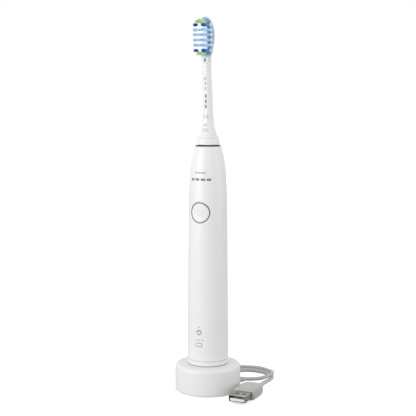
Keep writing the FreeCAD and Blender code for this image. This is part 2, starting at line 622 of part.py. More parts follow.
def make_cord():
    """The free lead in three solids: charger to coil, the coil's outer shape, and coil to plug."""
    radius = size("cord_radius")
    coil = doc.addObject("Part::Feature", "Coil")
    inner = size("coil_mean - coil_half")
    outer = size("coil_mean + coil_half")
    ring = Part.makeCylinder(outer, size("coil_high")).cut(Part.makeCylinder(inner, size("coil_high")))
    ring.translate(Vector(size("coil_side"), size("coil_back"), 0))
    coil.Shape = ring
    keep(coil, "cord_coil")
    for label, route in (("cord_lead", LEAD_ROUTE), ("cord_tail", TAIL_ROUTE)):
        path = rounded_path(label, route)
        start = Vector(*route[0])
        heading = Vector(*route[1]) - start
        section = Part.Wire(Part.makeCircle(radius, start, heading))
        swept = path.makePipeShell([section], True, False)
        share = swept.Volume / (math.pi * radius ** 2 * path.Length)
        print(label, "length", round(path.Length, 1), "volume share", round(share, 4))
        item = doc.addObject("Part::Feature", "Cord")
        item.Shape = max(swept.cut(ring).Solids, key=lambda solid: solid.Volume)
        keep(item, label)


def make_plug():
    """The plug, laid on the floor: moulded grip, folded shell with two windows, tongue, contacts."""
    turn = Rotation(UP, size("plug_turn"))

    def lay(item):
        """Move a piece built along +Y at the origin to where the plug lies."""
        place(item, "plug_side", "plug_front", "0", turn)
        return item

    grip = padded([("-grip_wide / 2", "0"), ("grip_wide / 2", "0"), ("grip_wide / 2", "grip_high"),
                   ("-grip_wide / 2", "grip_high")], "XZ_Plane", "-shell_long", "grip_long", True)
    fillet_body(grip, "grip_edge", lambda edge: edge.Length > size("grip_high") - 0.1
                and edge.CenterOfMass.y > size("shell_long") + 1)
    keep(lay(grip), "plug_grip")

    rear = "shell_long - 0.02"
    shell = block("shell_wide", rear, "shell_high", up="shell_lift")
    hollow = block("shell_wide - 2 * shell_wall", rear, "shell_high - 2 * shell_wall",
                   up="shell_lift + shell_wall")
    windows = [block("window_wide", "window_long", "2", across, "window_from", "shell_lift + shell_high - 1")
               for across in ("-window_side", "window_side")]
    keep(lay(cut(shell, hollow, *windows)), "plug_shell")
    foot = "shell_lift + shell_wall + chip_gap"
    keep(lay(grouped(block("tongue_wide", "shell_long - tongue_inset - chip_gap", "tongue_high",
                           depth="tongue_inset", up=foot))), "plug_tongue")
    keep(lay(grouped(*[block("contact_wide", "contact_long", "contact_thick", across, "contact_inset",
                             f"{foot} + tongue_high") for across in CONTACTS])), "plug_contacts")


def check_and_write():
    """Stop if any object failed, then write each sub-part to its own file."""
    doc.recompute()
    for item in doc.Objects:
        if "Invalid" in item.State or "Error" in item.State:
            raise SystemExit(f"{item.Label} failed: {item.State}")
    for item in nodes:
        if item.Shape.isNull() or not item.Shape.isValid() or not item.Shape.Solids:
            raise SystemExit(f"{item.Label} has no valid solid")
    for item in nodes:
        item.Shape.exportStep(f"parts/{item.Label}.step")
    print(len(nodes), "nodes written")


make_charger()
make_casing()
make_button()
make_power()
make_motor()
make_head()
make_tufts()
make_cord()
make_plug()
check_and_write()
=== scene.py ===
import math

import bmesh
import bpy
import numpy as np
from mathutils import Matrix, Vector


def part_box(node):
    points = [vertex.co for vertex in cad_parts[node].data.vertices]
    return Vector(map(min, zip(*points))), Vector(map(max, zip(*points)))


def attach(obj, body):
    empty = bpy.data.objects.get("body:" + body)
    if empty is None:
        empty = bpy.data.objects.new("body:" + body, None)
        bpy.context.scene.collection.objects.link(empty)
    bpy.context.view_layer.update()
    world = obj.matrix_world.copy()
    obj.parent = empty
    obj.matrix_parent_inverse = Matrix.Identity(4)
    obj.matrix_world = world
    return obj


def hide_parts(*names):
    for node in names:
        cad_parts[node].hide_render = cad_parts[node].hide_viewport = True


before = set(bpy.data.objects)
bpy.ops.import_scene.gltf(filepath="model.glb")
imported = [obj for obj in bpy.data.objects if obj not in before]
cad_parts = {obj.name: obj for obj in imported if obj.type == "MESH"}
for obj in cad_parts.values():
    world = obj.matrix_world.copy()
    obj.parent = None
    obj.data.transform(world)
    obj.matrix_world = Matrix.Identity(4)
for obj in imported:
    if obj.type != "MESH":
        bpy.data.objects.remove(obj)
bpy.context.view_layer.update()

# A sonic toothbrush on its charging puck.  Shapes are worked out in millimetres and put into the
# meshes in metres; the button and the bristles face -Y.

MM = 0.001
SCENE = bpy.context.scene
CHANCE = np.random.default_rng(7)


def extent(node):
    """Lowest and highest corner of a CAD node, in millimetres."""
    low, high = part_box(node)
    return np.array(low) / MM, np.array(high) / MM


# ---------------------------------------------------------------- camera
CAMERA_TURN = math.radians(25.5)
CAMERA_AWAY = 674.4
CAMERA_HEIGHT = 202.9
CAMERA_DIP = 0.1079
CAMERA_ROLL = 0.0012
CAMERA_LENS = 83.74
CAMERA_NEAR, CAMERA_FAR = 0.05, 20


def make_camera():
    """A long lens, level with the head's neck and to the right of its front, that looks a little down."""
    data = bpy.data.cameras.new("camera")
    data.lens = CAMERA_LENS
    data.clip_start = CAMERA_NEAR
    data.clip_end = CAMERA_FAR
    camera = bpy.data.objects.new("camera", data)
    camera.location = (CAMERA_AWAY * math.sin(CAMERA_TURN) * MM, -CAMERA_AWAY * math.cos(CAMERA_TURN) * MM,
                       CAMERA_HEIGHT * MM)
    upright = Matrix.Rotation(CAMERA_TURN, 4, "Z")
    dip = Matrix.Rotation(math.pi / 2 - CAMERA_DIP, 4, "X")
    roll = Matrix.Rotation(CAMERA_ROLL, 4, "Z")
    camera.rotation_euler = (upright @ dip @ roll).to_euler()
    SCENE.collection.objects.link(camera)
    SCENE.camera = camera


make_camera()

# ---------------------------------------------------------------- the lead
CORD_WIDE = 2.7
EXIT_ANGLE = math.radians(50.0)
RELIEF_REACH = 29.0
EXIT_HEIGHT = 3.5
LEAD_ROUTE = [(18.64, 22.22, 3.5), (21.6, 25.7, 2.9), (28.3, 30.6, 2.9), (32.1, 34.7, 4.2),
              (33.3, 40.8, 4.3), (30.8, 47.5, 4.2), (26.9, 53.2, 2.6), (21.7, 58.9, 1.6),
              (13.9, 62.3, 1.35), (7.0, 61.0, 1.35), (-0.8, 58.2, 1.35), (-9.6, 59.9, 1.35),
              (-18.0, 62.8, 1.35)]
TAIL_ROUTE = [(-4.8, 33.2, 4.05), (0.6, 41.3, 2.6), (4.7, 49.6, 1.5), (10.8, 53.5, 1.35),
              (20.7, 53.0, 1.35), (26.8, 49.6, 1.35), (32.4, 44.2, 1.35), (33.3, 36.9, 1.35),
              (32.6, 28.0, 1.35), (32.6, 20.8, 1.45), (33.8, 13.65, 2.9), (33.83, 7.35, 4.0)]
COIL_MIDDLE = (-22.7, 42.9)
COIL_OUTER, COIL_INNER = 20.4, 9.4
COIL_LOW, COIL_HIGH = 1.35, 4.05
COIL_ENTRY = math.radians(76.5)
COIL_LEAVE = math.radians(-28.4)
COIL_TURNS = 9
COIL_CLIMB = 0.5
POINTS_PER_TURN = 20
LINE_STEPS = 6
JACKET_STEPS = 5


def coil_turns():
    """Points of the coiled length: a flat spiral inwards on the floor, half a turn of climb, and a
    second spiral outwards that lies on the first."""
    sweep = COIL_LEAVE + 2 * math.pi * COIL_TURNS - COIL_ENTRY
    turns = sweep / (2 * math.pi)
    count = int(turns * POINTS_PER_TURN)
    turn = np.linspace(0, turns, count + 1)[1:-1]
    inward = (turns - COIL_CLIMB) / 2
    radius = np.interp(turn, [0, inward, inward + COIL_CLIMB, turns],
                       [COIL_OUTER, COIL_INNER, COIL_INNER, COIL_OUTER])
    height = np.interp(turn, [inward, inward + COIL_CLIMB], [COIL_LOW, COIL_HIGH])
    angle = COIL_ENTRY + 2 * math.pi * turn
    across = COIL_MIDDLE[0] + radius * np.cos(angle)
    back = COIL_MIDDLE[1] + radius * np.sin(angle)
    return np.stack([across, back, height], -1).tolist()


def make_cord():
    """One smooth line: out of the charger, over itself, round the coil, and back to the plug.  The
    jacket is the tube about it; the line's own points say where the tube runs."""
    route = LEAD_ROUTE + coil_turns() + TAIL_ROUTE
    curve = bpy.data.curves.new("cord_line", "CURVE")
    curve.dimensions = "3D"
    curve.resolution_u = LINE_STEPS
    line = curve.splines.new("NURBS")
    line.points.add(len(route) - 1)
    for point, place in zip(line.points, route):
        point.co = (place[0] * MM, place[1] * MM, place[2] * MM, 1)
    line.order_u = 3
    line.use_endpoint_u = True
    holder = bpy.data.objects.new("cord_line", curve)
    bare = bpy.data.meshes.new_from_object(holder)
    path = [tuple(vertex.co) for vertex in bare.vertices]
    curve.bevel_depth = CORD_WIDE / 2 * MM
    curve.bevel_resolution = JACKET_STEPS
    curve.use_fill_caps = True
    cord = bpy.data.objects.new("cord", bpy.data.meshes.new_from_object(holder))
    bpy.data.meshes.remove(bare)
    bpy.data.curves.remove(curve)
    SCENE.collection.objects.link(cord)
    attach(cord, "charger")
    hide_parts("cord_lead", "cord_coil", "cord_tail")
    return cord, path


cord, cord_path = make_cord()


# ---------------------------------------------------------------- materials
def feed(tree, node, inputs):
    """A node's inputs by name: another node's output is linked, and a number or colour is set."""
    for name, value in inputs.items():
        socket = node.inputs[name]
        if isinstance(value, bpy.types.NodeSocket):
            tree.links.new(value, socket)
        elif socket.type == "RGBA":
            socket.default_value = (*value, 1)
        else:
            socket.default_value = value


def add(tree, kind, inputs=None, **settings):
    """A node with its plain settings made and its inputs fed."""
    node = tree.nodes.new(kind)
    for name, value in settings.items():
        setattr(node, name, value)
    feed(tree, node, inputs or {})
    return node


def object_place(tree):
    """The object's own coordinates."""
    return add(tree, "ShaderNodeTexCoord").outputs["Object"]


def noise(tree, place, scale, detail=2.0, distortion=0.0):
    """A noise from 0 to 1 over a place."""
    inputs = {"Vector": place, "Scale": scale, "Detail": detail, "Distortion": distortion}
    return add(tree, "ShaderNodeTexNoise", inputs).outputs["Fac"]


def between(tree, factor, low, high):
    """A number that runs from low to high as the factor runs from 0 to 1."""
    return add(tree, "ShaderNodeMapRange", {"Value": factor, "To Min": low, "To Max": high}).outputs["Result"]


def eased(tree, value, start, end):
    """A number that eases from 0 to 1 as the value runs from start to end."""
    inputs = {"Value": value, "From Min": start, "From Max": end}
    return add(tree, "ShaderNodeMapRange", inputs, interpolation_type="SMOOTHSTEP").outputs["Result"]


def blended(tree, factor, first, second):
    """A colour that runs from first to second as the factor runs from 0 to 1."""
    inputs = {"Factor": factor, "A": first, "B": second}
    return add(tree, "ShaderNodeMix", inputs, data_type="RGBA").outputs["Result"]


def raised(tree, height, depth):
    """A normal from a height, with its depth in millimetres."""
    inputs = {"Height": height, "Distance": depth * MM, "Strength": 1.0}
    return add(tree, "ShaderNodeBump", inputs).outputs["Normal"]


def deeper(colour, share):
    """A colour with every part of it times a share."""
    return tuple(part * share for part in colour)


def texture_group(name, knobs, results):
    """A node group with its numbers to set and its results: the group, those numbers, and a node to
    feed the results to."""
    group = bpy.data.node_groups.new(name, "ShaderNodeTree")
    for knob, value in knobs.items():
        socket = group.interface.new_socket(name=knob, in_out="INPUT", socket_type="NodeSocketFloat")
        socket.default_value = value
    for result in results:
        group.interface.new_socket(name=result, in_out="OUTPUT", socket_type="NodeSocketFloat")
    return group, add(group, "NodeGroupInput").outputs, add(group, "NodeGroupOutput")


def make_moulded_grain():
    """Moulded plastic's skin: a fine height, and a slow mottle from 0 to 1."""
    group, knobs, leave = texture_group("moulded_grain", {"Grain": 2500.0, "Patch": 90.0},
                                        ("Height", "Mottle"))
    place = object_place(group)
    feed(group, leave, {"Height": noise(group, place, knobs["Grain"], 3),
                        "Mottle": noise(group, place, knobs["Patch"], 4)})
    return group


def make_drawn_streaks():
    """Rolled or drawn metal: streaks along Y, as a height, and slow stains from 0 to 1."""
    group, knobs, leave = texture_group("drawn_streaks", {"Fineness": 1800.0}, ("Height", "Stain"))
    place = object_place(group)
    stretch = add(group, "ShaderNodeMapping", {"Vector": place, "Scale": (1.0, 0.04, 1.0)})
    feed(group, leave, {"Height": noise(group, stretch.outputs["Vector"], knobs["Fineness"], 4),
                        "Stain": noise(group, place, 300)})
    return group


def make_handling():
    """Faint smears from fingers: a mask from 0 to 1 that is mostly 0."""
    group, knobs, leave = texture_group("handling_smears", {"Size": 45.0}, ("Smear",))
    smears = noise(group, object_place(group), knobs["Size"], 6, 1.4)
    feed(group, leave, {"Smear": eased(group, smears, 0.52, 0.72)})
    return group


GRAIN = make_moulded_grain()
STREAKS = make_drawn_streaks()
SMEARS = make_handling()
SMEAR_ROUGH = 0.05
COAT_ROUGH = 0.15
STAIN_SHADE = 0.82
STREAK_DEPTH = 0.003
# Painted shade: how far the wound wire's colour is darkened in the grooves between its turns.
WIRE_GROOVE_PAINTED_SHADE = 0.35
WIRE_DEPTH = 0.12
WIRE_METAL = 0.8
BANDS_PER_SCALE = 0.314
PLASTIC_INDEX = 1.45
RIM_START, RIM_FULL = 3.6, 5.6
TIP_FADE = 0.25


def blank_material(name):
    """A material with a Principled shader, and its tree and shader."""
    made = bpy.data.materials.new(name)
    made.use_nodes = True
    tree = made.node_tree
    tree.nodes.clear()
    shader = add(tree, "ShaderNodeBsdfPrincipled")
    add(tree, "ShaderNodeOutputMaterial", {"Surface": shader.outputs["BSDF"]})
    return made, tree, shader


def grouped(tree, group, **inputs):
    """The outputs of a node group placed in a material, with its own values."""
    return add(tree, "ShaderNodeGroup", inputs, node_tree=group).outputs


def moulded(name, colour, shade=0.96, rough=0.32, grain=2500.0, depth=0.004, coat=0.0, specular=0.5):
    """Moulded plastic or rubber: mottled colour and roughness, grain in the normal, faint smears."""
    made, tree, shader = blank_material(name)
    skin = grouped(tree, GRAIN, Grain=grain)
    smear = grouped(tree, SMEARS)["Smear"]
    total = add(tree, "ShaderNodeMath", operation="ADD")
    tree.links.new(between(tree, skin["Mottle"], rough - 0.04, rough + 0.04), total.inputs[0])
    tree.links.new(between(tree, smear, 0.0, SMEAR_ROUGH), total.inputs[1])
    feed(tree, shader, {
        "Base Color": blended(tree, skin["Mottle"], deeper(colour, shade), colour),
        "Roughness": total.outputs["Value"], "Normal": raised(tree, skin["Height"], depth),
        "Coat Weight": coat, "Coat Roughness": COAT_ROUGH, "Specular IOR Level": specular})
    return made


def drawn_metal(name, colour, rough):
    """Metal with drawn streaks and slow stains."""
    made, tree, shader = blank_material(name)
    skin = grouped(tree, STREAKS)
    feed(tree, shader, {
        "Base Color": blended(tree, skin["Stain"], deeper(colour, STAIN_SHADE), colour),
        "Roughness": between(tree, skin["Stain"], rough - 0.06, rough + 0.08),
        "Normal": raised(tree, skin["Height"], STREAK_DEPTH), "Metallic": 1.0})
    return made


def wound_wire(name, colour, pitch):
    """Enamelled wire wound in rings: bands across Z as a height and a colour, one for each turn, darker in
    the grooves as painted shade.
    """
    made, tree, shader = blank_material(name)
    inputs = {"Vector": object_place(tree), "Scale": BANDS_PER_SCALE / (pitch * MM), "Distortion": 0.6}
    bands = add(tree, "ShaderNodeTexWave", inputs, wave_type="BANDS", bands_direction="Z").outputs["Fac"]
    feed(tree, shader, {
        # The darker colour in the grooves between the turns is painted shade.
        "Base Color": blended(tree, bands, deeper(colour, WIRE_GROOVE_PAINTED_SHADE), colour),
        "Roughness": between(tree, bands, 0.5, 0.25), "Normal": raised(tree, bands, WIRE_DEPTH),
        "Metallic": WIRE_METAL})
    return made


def object_axes(tree):
    """The object's own X, Y and Z, as outputs by name."""
    return add(tree, "ShaderNodeSeparateXYZ", {"Vector": object_place(tree)}).outputs


def clear_plastic(name, low, high, heights, rough=0.12, through=0.55, rim=None):
    """Tinted see-through plastic whose colour runs from low to high between two heights, and into a
    rim colour away from the middle."""
    made, tree, shader = blank_material(name)
    axes = object_axes(tree)
    colour = blended(tree, eased(tree, axes["Z"], heights[0] * MM, heights[1] * MM), low, high)
    if rim is not None:
        side = add(tree, "ShaderNodeMath", operation="ABSOLUTE")
        tree.links.new(axes["X"], side.inputs[0])
        outward = eased(tree, side.outputs["Value"], RIM_START * MM, RIM_FULL * MM)
        colour = blended(tree, outward, colour, rim)
    mottle = grouped(tree, GRAIN, Grain=1200.0, Patch=400.0)["Mottle"]
    feed(tree, shader, {
        "Base Color": colour, "Roughness": between(tree, mottle, rough - 0.04, rough + 0.06),
        "Normal": raised(tree, mottle, 0.05), "Transmission Weight": through, "IOR": PLASTIC_INDEX})
    return made


def bristle(name, root, tip, turn=0.62, glow=0.14):
    """Nylon filament: the root's colour runs into the tip's along the filament.  It glows a little,
    for the light that comes through the tuft."""
    made, tree, shader = blank_material(name)
    starts, ends = (-(PLATE_FRONT + TUFT_LONG * share) * MM for share in (turn - TIP_FADE, turn + TIP_FADE))
    colour = blended(tree, eased(tree, object_axes(tree)["Y"], starts, ends), root, tip)
    mottle = grouped(tree, GRAIN, Grain=4000.0, Patch=1500.0)["Mottle"]
    feed(tree, shader, {
        "Base Color": colour, "Roughness": between(tree, mottle, 0.25, 0.42), "Emission Color": colour,
        "Emission Strength": glow})
    return made


# ---------------------------------------------------------------- shapes
def grid(rows, columns, across=False, along=False):
    """Quads of a grid of points, rows by columns, that may close round across or along."""
    i, j = np.meshgrid(np.arange(rows - (not along)), np.arange(columns - (not across)), indexing="ij")
    below, beside = (i + 1) % rows, (j + 1) % columns
    corners = [i * columns + j, i * columns + beside, below * columns + beside, below * columns + j]
    return np.stack(corners, -1).reshape(-1, 4)


MERGE_GAP = 2e-7
# A turned profile stops this far from its axis, so that its middle closes on almost a point.
AXIS = 0.001


def build(name, surfaces, body, slot, material, *stands_for, sharp=38):
    """A piece from (points in millimetres, faces) surfaces.  Doubles are merged and loose points
    removed, faces are turned outwards, and edges sharper than an angle stay crisp."""
    points = np.vstack([part[0] for part in surfaces])
    starts = np.cumsum([0] + [len(part[0]) for part in surfaces[:-1]])
    faces = np.vstack([part[1] + start for part, start in zip(surfaces, starts)])
    mesh = bpy.data.meshes.new(name)
    mesh.from_pydata((points * MM).tolist(), [], faces.tolist())
    work = bmesh.new()
    work.from_mesh(mesh)
    bmesh.ops.remove_doubles(work, verts=work.verts, dist=MERGE_GAP)
    loose = [vertex for vertex in work.verts if not vertex.link_faces]
    bmesh.ops.delete(work, geom=loose, context="VERTS")
    bmesh.ops.recalc_face_normals(work, faces=work.faces)
    work.to_mesh(mesh)
    work.free()
    mesh.polygons.foreach_set("use_smooth", np.ones(len(mesh.polygons), bool))
    mesh.set_sharp_from_angle(angle=math.radians(sharp))
    mesh.materials.append(material)
    piece = bpy.data.objects.new(name, mesh)
    SCENE.collection.objects.link(piece)
    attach(piece, body)
    if stands_for:
        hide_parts(*stands_for)
    return piece


def eased_share(value, start, end):
    """A share that eases from 0 to 1 as the value runs from start to end: three times its square
    less twice its cube."""
    share = np.clip((value - start) / (end - start), 0, 1)
    return share * share * (3 - 2 * share)


def squarish(angle, wide, high, power):
    """A superellipse as (across, up): the greater the power, the squarer it is."""
    across = np.sign(np.cos(angle)) * abs(np.cos(angle)) ** (2 / power) * wide / 2
    up = np.sign(np.sin(angle)) * abs(np.sin(angle)) ** (2 / power) * high / 2
    return across, up


def round_angles(count):
    """Angles spread evenly over a full turn."""
    return np.linspace(0, 2 * np.pi, count, endpoint=False)


def smooth(knots, values, at):
    """A cubic curve through the knots; the tangent at each is the slope across its neighbours."""
    knots, values, at = (np.asarray(part, float) for part in (knots, values, at))
    slopes = np.gradient(values, knots)
    low = np.clip(np.searchsorted(knots, at) - 1, 0, len(knots) - 2)
    width = knots[low + 1] - knots[low]
    t = np.clip((at - knots[low]) / width, 0, 1)
    return ((2 * t ** 3 - 3 * t ** 2 + 1) * values[low] + (t ** 3 - 2 * t ** 2 + t) * width * slopes[low]
            + (3 * t ** 2 - 2 * t ** 3) * values[low + 1] + (t ** 3 - t ** 2) * width * slopes[low + 1])


def rounded(corners, steps=7):
    """A profile through (out, up, rounding) corners; a rounding is a parabola that starts and ends
    that far from the corner."""
    places = [np.array(corner[:2], float) for corner in corners]
    parts = []
    for index, corner in enumerate(corners):
        here = places[index]
        if len(corner) == 2:
            parts.append(here[None])
            continue
        before, after = places[index - 1] - here, places[(index + 1) % len(places)] - here
        start = here + before / np.linalg.norm(before) * corner[2]
        end = here + after / np.linalg.norm(after) * corner[2]
        t = np.linspace(0, 1, steps)[:, None]
        parts.append((1 - t) ** 2 * start + 2 * t * (1 - t) * here + t ** 2 * end)
    return np.vstack(parts)


def turned(profile, turns=96, closed=False):
    """A surface of revolution about Z: each (out, up) of the profile goes round a circle."""
    angle = round_angles(turns)
    out, up = profile[:, :1], profile[:, 1:]
    points = np.stack([out * np.cos(angle), out * np.sin(angle), up + 0 * angle], -1)
    return points.reshape(-1, 3), grid(len(profile), turns, across=True, along=closed)


def aimed(surface, place, direction):
    """A surface made about +Z at the origin, turned to a direction and moved to a place."""
    turn = np.array(Vector((0, 0, 1)).rotation_difference(Vector(direction)).to_matrix())
    return surface[0] @ turn.T + np.array(place), surface[1]


def bow(start, end, radius, steps):
    """Points on a circle's arc between two (out, up) points; it bows away from the axis."""
    start, end = np.array(start, float), np.array(end, float)
    chord = end - start
    half = np.linalg.norm(chord) / 2
    along = chord / (2 * half)
    outward = np.array([along[1], -along[0]])
    centre = (start + end) / 2 - outward * math.sqrt(radius ** 2 - half ** 2)
    spread = math.asin(half / radius)
    t = np.linspace(-spread, spread, steps)[:, None]
    return centre + radius * (np.cos(t) * outward + np.sin(t) * along)


# ---------------------------------------------------------------- sizes read from the frame
COVER_LOW, COVER_HIGH = extent("charger_cover")
CAP_LOW, CAP_HIGH = extent("end_cap")
SHELL_LOW, SHELL_HIGH = extent("handle_shell")
SEAL_LOW, SEAL_HIGH = extent("shaft_seal")
RING_LOW, RING_HIGH = extent("button_ring")
BASE_LOW, BASE_HIGH = extent("head_base_ring")
BUTTON_HEIGHT = (RING_LOW[2] + RING_HIGH[2]) / 2
WINDOW = 7.4
PRINT_LIFT = 0.03
PLATE_FRONT = 4.9
PLATE_BACK = 2.3
TUFT_LONG = 10.3
TUFT_SHORT = 9.0
HEAD_TILT = math.radians(2.4)
TILT_HEIGHT = 238.5
LEAN_START, LEAN_FULL = 228, 237

# ---------------------------------------------------------------- finishes
WHITE = moulded("white_shell", (0.86, 0.86, 0.855), rough=0.30, coat=0.15)
HEAD_WHITE = moulded("head_white", (0.86, 0.86, 0.86), rough=0.27, coat=0.2)
PUCK_WHITE = moulded("charger_plastic", (0.84, 0.84, 0.835), rough=0.34, grain=2000.0, depth=0.006)
BEZEL = drawn_metal("grey_bezel", (0.22, 0.22, 0.23), rough=0.28)
SEAL_DARK = moulded("dark_seal", (0.075, 0.075, 0.08), shade=0.8, rough=0.55, depth=0.01)
FOOT_DARK = moulded("soft_foot", (0.11, 0.11, 0.115), shade=0.8, rough=0.7, depth=0.02)
JACKET = moulded("cord_jacket", (0.50, 0.50, 0.50), rough=0.26, grain=1500.0, depth=0.006, coat=0.5)
GRIP = moulded("plug_plastic", (0.46, 0.46, 0.45), rough=0.28, grain=1800.0, depth=0.006, coat=0.2,
               specular=0.3)
PLUG_STEEL = drawn_metal("plug_steel", (0.36, 0.36, 0.34), rough=0.20)
TIE = moulded("tie_band", (0.20, 0.20, 0.21), shade=0.7, rough=0.75, grain=3500.0, depth=0.08)
TONGUE = moulded("plug_tongue", (0.86, 0.86, 0.85), rough=0.4)
GOLD = drawn_metal("gold", (0.83, 0.62, 0.26), rough=0.22)
STEEL = drawn_metal("steel", (0.55, 0.56, 0.57), rough=0.26)
NICKEL = drawn_metal("nickel", (0.66, 0.64, 0.60), rough=0.3)
MAGNET = drawn_metal("magnet", (0.60, 0.60, 0.61), rough=0.18)
COPPER = wound_wire("copper_wire", (0.72, 0.32, 0.12), pitch=0.35)
INNER = moulded("inner_plastic", (0.55, 0.56, 0.58), rough=0.5, depth=0.01)
BUSH = moulded("bush_plastic", (0.76, 0.73, 0.66), rough=0.45)
BOARD = moulded("board_green", (0.03, 0.20, 0.08), shade=0.6, rough=0.35, coat=0.4)
CHIPS = moulded("chips", (0.02, 0.02, 0.022), shade=0.6, rough=0.5, depth=0.01)
FERRITE = moulded("ferrite", (0.05, 0.05, 0.055), shade=0.6, rough=0.6, depth=0.02)
CELL = moulded("cell_wrap", (0.05, 0.22, 0.50), shade=0.85, rough=0.3, coat=0.3)
SILICONE = moulded("silicone", (0.72, 0.75, 0.77), rough=0.5, depth=0.008)
LIGHT_GUIDE = clear_plastic("clear_guide", (0.9, 0.95, 0.95), (0.95, 1.0, 1.0), (35, 50), through=0.8)
MARK_DARK = moulded("printed_grey", (0.24, 0.24, 0.25), shade=0.9, rough=0.4)
MARK_FAINT = moulded("printed_pale", (0.42, 0.42, 0.43), shade=0.95, rough=0.4)
MARK_PALE = moulded("moulded_symbol", (0.66, 0.66, 0.665), rough=0.35)
LAMP_GREEN = moulded("lamp_green", (0.42, 0.58, 0.42), shade=0.9, rough=0.3)
PLATE_BLUE = clear_plastic("plate_blue", (0.90, 1.0, 1.0), (0.28, 0.50, 0.80), (233.5, 237.0),
                           through=0.22, rim=(0.50, 0.68, 0.86))
# The edge lumps' near-white colour is a painted highlight on the plate's edges.
LOBE_HIGHLIGHT_WHITE = clear_plastic("lobe_painted_highlight", (0.93, 0.98, 1.0), (0.94, 0.98, 1.0), (236, 258), rough=0.08,
                           through=0.10)
INLAY_BLUE = moulded("inlay_blue", (0.08, 0.18, 0.40), shade=0.8, rough=0.3, coat=0.5)
DEEP_BLUE = bristle("bristle_deep_blue", (0.10, 0.32, 0.74), (0.0, 0.11, 0.40), glow=0.16)
LIGHT_BLUE = bristle("bristle_light_blue", (0.50, 0.68, 0.88), (0.52, 0.74, 0.88))
GREEN = bristle("bristle_green", (0.42, 0.58, 0.38), (0.60, 0.78, 0.44), turn=0.4)
PALE = bristle("bristle_white", (0.92, 0.92, 0.94), (0.95, 0.94, 0.95), glow=0.20)

CAD_FINISHES = {
    "foot_pad": FOOT_DARK, "charger_base_plate": PUCK_WHITE, "transmitter_core": FERRITE,
    "transmitter_bobbin": INNER, "transmitter_coil": COPPER, "charger_board": BOARD,
    "charger_board_parts": CHIPS, "plug_contacts": GOLD, "end_cap_seal": SEAL_DARK,
    "receiver_coil": COPPER, "receiver_ferrite": FERRITE, "button_membrane": SILICONE,
    "inner_chassis": INNER, "battery_cell": CELL, "battery_tabs": NICKEL, "main_board": BOARD,
    "main_board_parts": CHIPS, "indicator_lights": LIGHT_GUIDE, "light_guide": LIGHT_GUIDE,
    "tact_switch": CHIPS, "damping_pad": SILICONE, "motor_frame": STEEL, "motor_screws": STEEL,
    "stator_stack": STEEL, "drive_coils": COPPER, "rear_bush": BUSH, "front_bush": BUSH,
    "drive_shaft": STEEL, "magnet_carrier": INNER, "rotor_magnets": MAGNET, "return_spring": STEEL,
    "shaft_socket": INNER, "head_tag": COPPER,
}


def finish_cad_nodes():
    """Give the CAD pieces that stay as they are their finishes."""
    for node, material in CAD_FINISHES.items():
        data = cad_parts[node].data
        data.materials.clear()
        data.materials.append(material)


# ---------------------------------------------------------------- charger
PEG_RADIUS, PEG_WALL = 4.6, 0.9
COVER_WALL, COVER_EDGE = 1.6, 3.0
BOOT_START, BOOT_ROOT, BOOT_TAPER = 21.0, 2.7, 0.95
BOOT_GROOVES, GROOVE_DEEP = 4.0, 0.28
BOOT_LIP, BOOT_LIP_RADIUS = 0.12, 1.5


def make_cover():
    """The puck's cover, one moulding with its peg; the ring outside the peg keeps the top flat."""
    edge, low, top, tip = COVER_HIGH[0], COVER_LOW[2], CAP_LOW[2] - 0.2, COVER_HIGH[2]
    ring, bore = PEG_RADIUS + 9.0, PEG_RADIUS - PEG_WALL
    inside, under = edge - COVER_WALL, top - COVER_WALL
    profile = rounded([
        (inside, low, 0.15), (edge, low, 0.8), (edge, top, COVER_EDGE), (ring, top, 0.5),
        (PEG_RADIUS, top, 0.5), (PEG_RADIUS, tip, 1.0), (AXIS, tip), (AXIS, tip - PEG_WALL),
        (bore, tip - PEG_WALL, 0.2), (bore, under, 0.3), (inside, under, 0.8)])
    build("charger_cover_moulding", [turned(profile, 160, closed=True)], "charger", "charger_plastic",
          PUCK_WHITE, "charger_cover")


def make_relief():
    """The ribbed boot that grips the lead at the charger's back: a taper with grooves part way."""
    steps = np.linspace(0, 1, 61)
    reach = RELIEF_REACH - BOOT_START
    waves = np.clip(np.sin(2 * np.pi * BOOT_GROOVES * steps - 1.2), 0, 1) * (steps > 0.32) * (steps < 0.93)
    taper = BOOT_ROOT - BOOT_TAPER * steps - GROOVE_DEEP * waves
    side = np.stack([taper, steps * reach], -1)
    profile = np.vstack([[(AXIS, 0)], side, [(BOOT_LIP_RADIUS, reach + BOOT_LIP), (AXIS, reach + BOOT_LIP)]])
    direction = (math.cos(EXIT_ANGLE), math.sin(EXIT_ANGLE), 0)
    place = (BOOT_START * direction[0], BOOT_START * direction[1], EXIT_HEIGHT)
    relief = aimed(turned(profile, 40), place, direction)
    return build("cord_relief_boot", [relief], "charger", "cord_jacket", JACKET, "cord_relief")


# ---------------------------------------------------------------- handle
WAIST, SHOULDER_LOW, SHOULDER_HIGH = (13.6, 128.0), (12.6, 154.0), (11.0, 167.0)
SHELL_TOP = SHELL_HIGH[2]
WAIST_BOW, SHOULDER_BOW = 570.0, 71.0
SHELL_SIDE = np.vstack([
    np.linspace((SHELL_HIGH[0], SHELL_LOW[2]), WAIST, 40), bow(WAIST, SHOULDER_LOW, WAIST_BOW, 24)[1:],
    bow(SHOULDER_LOW, SHOULDER_HIGH, SHOULDER_BOW, 20)[1:]])
NOSE_RADIUS, NOSE_BORE = 9.5, 5.15
SHELL_NOSE = rounded([SHOULDER_HIGH, (NOSE_RADIUS, SHELL_TOP, 0.9), (NOSE_BORE, SHELL_TOP, 0.1),
                      (NOSE_BORE - 0.05, SHELL_TOP - 2)])
SHELL_WALL = 1.5
BUTTON_BLOCK, BLOCK_CELLS, OPEN_CELLS = 11.0, 28, 20


def shell_radius(height):
    """The handle's radius at a height below its nose."""
    side = np.vstack([SHELL_SIDE, SHELL_NOSE[1:2]])
    return np.interp(height, side[:, 1], side[:, 0])


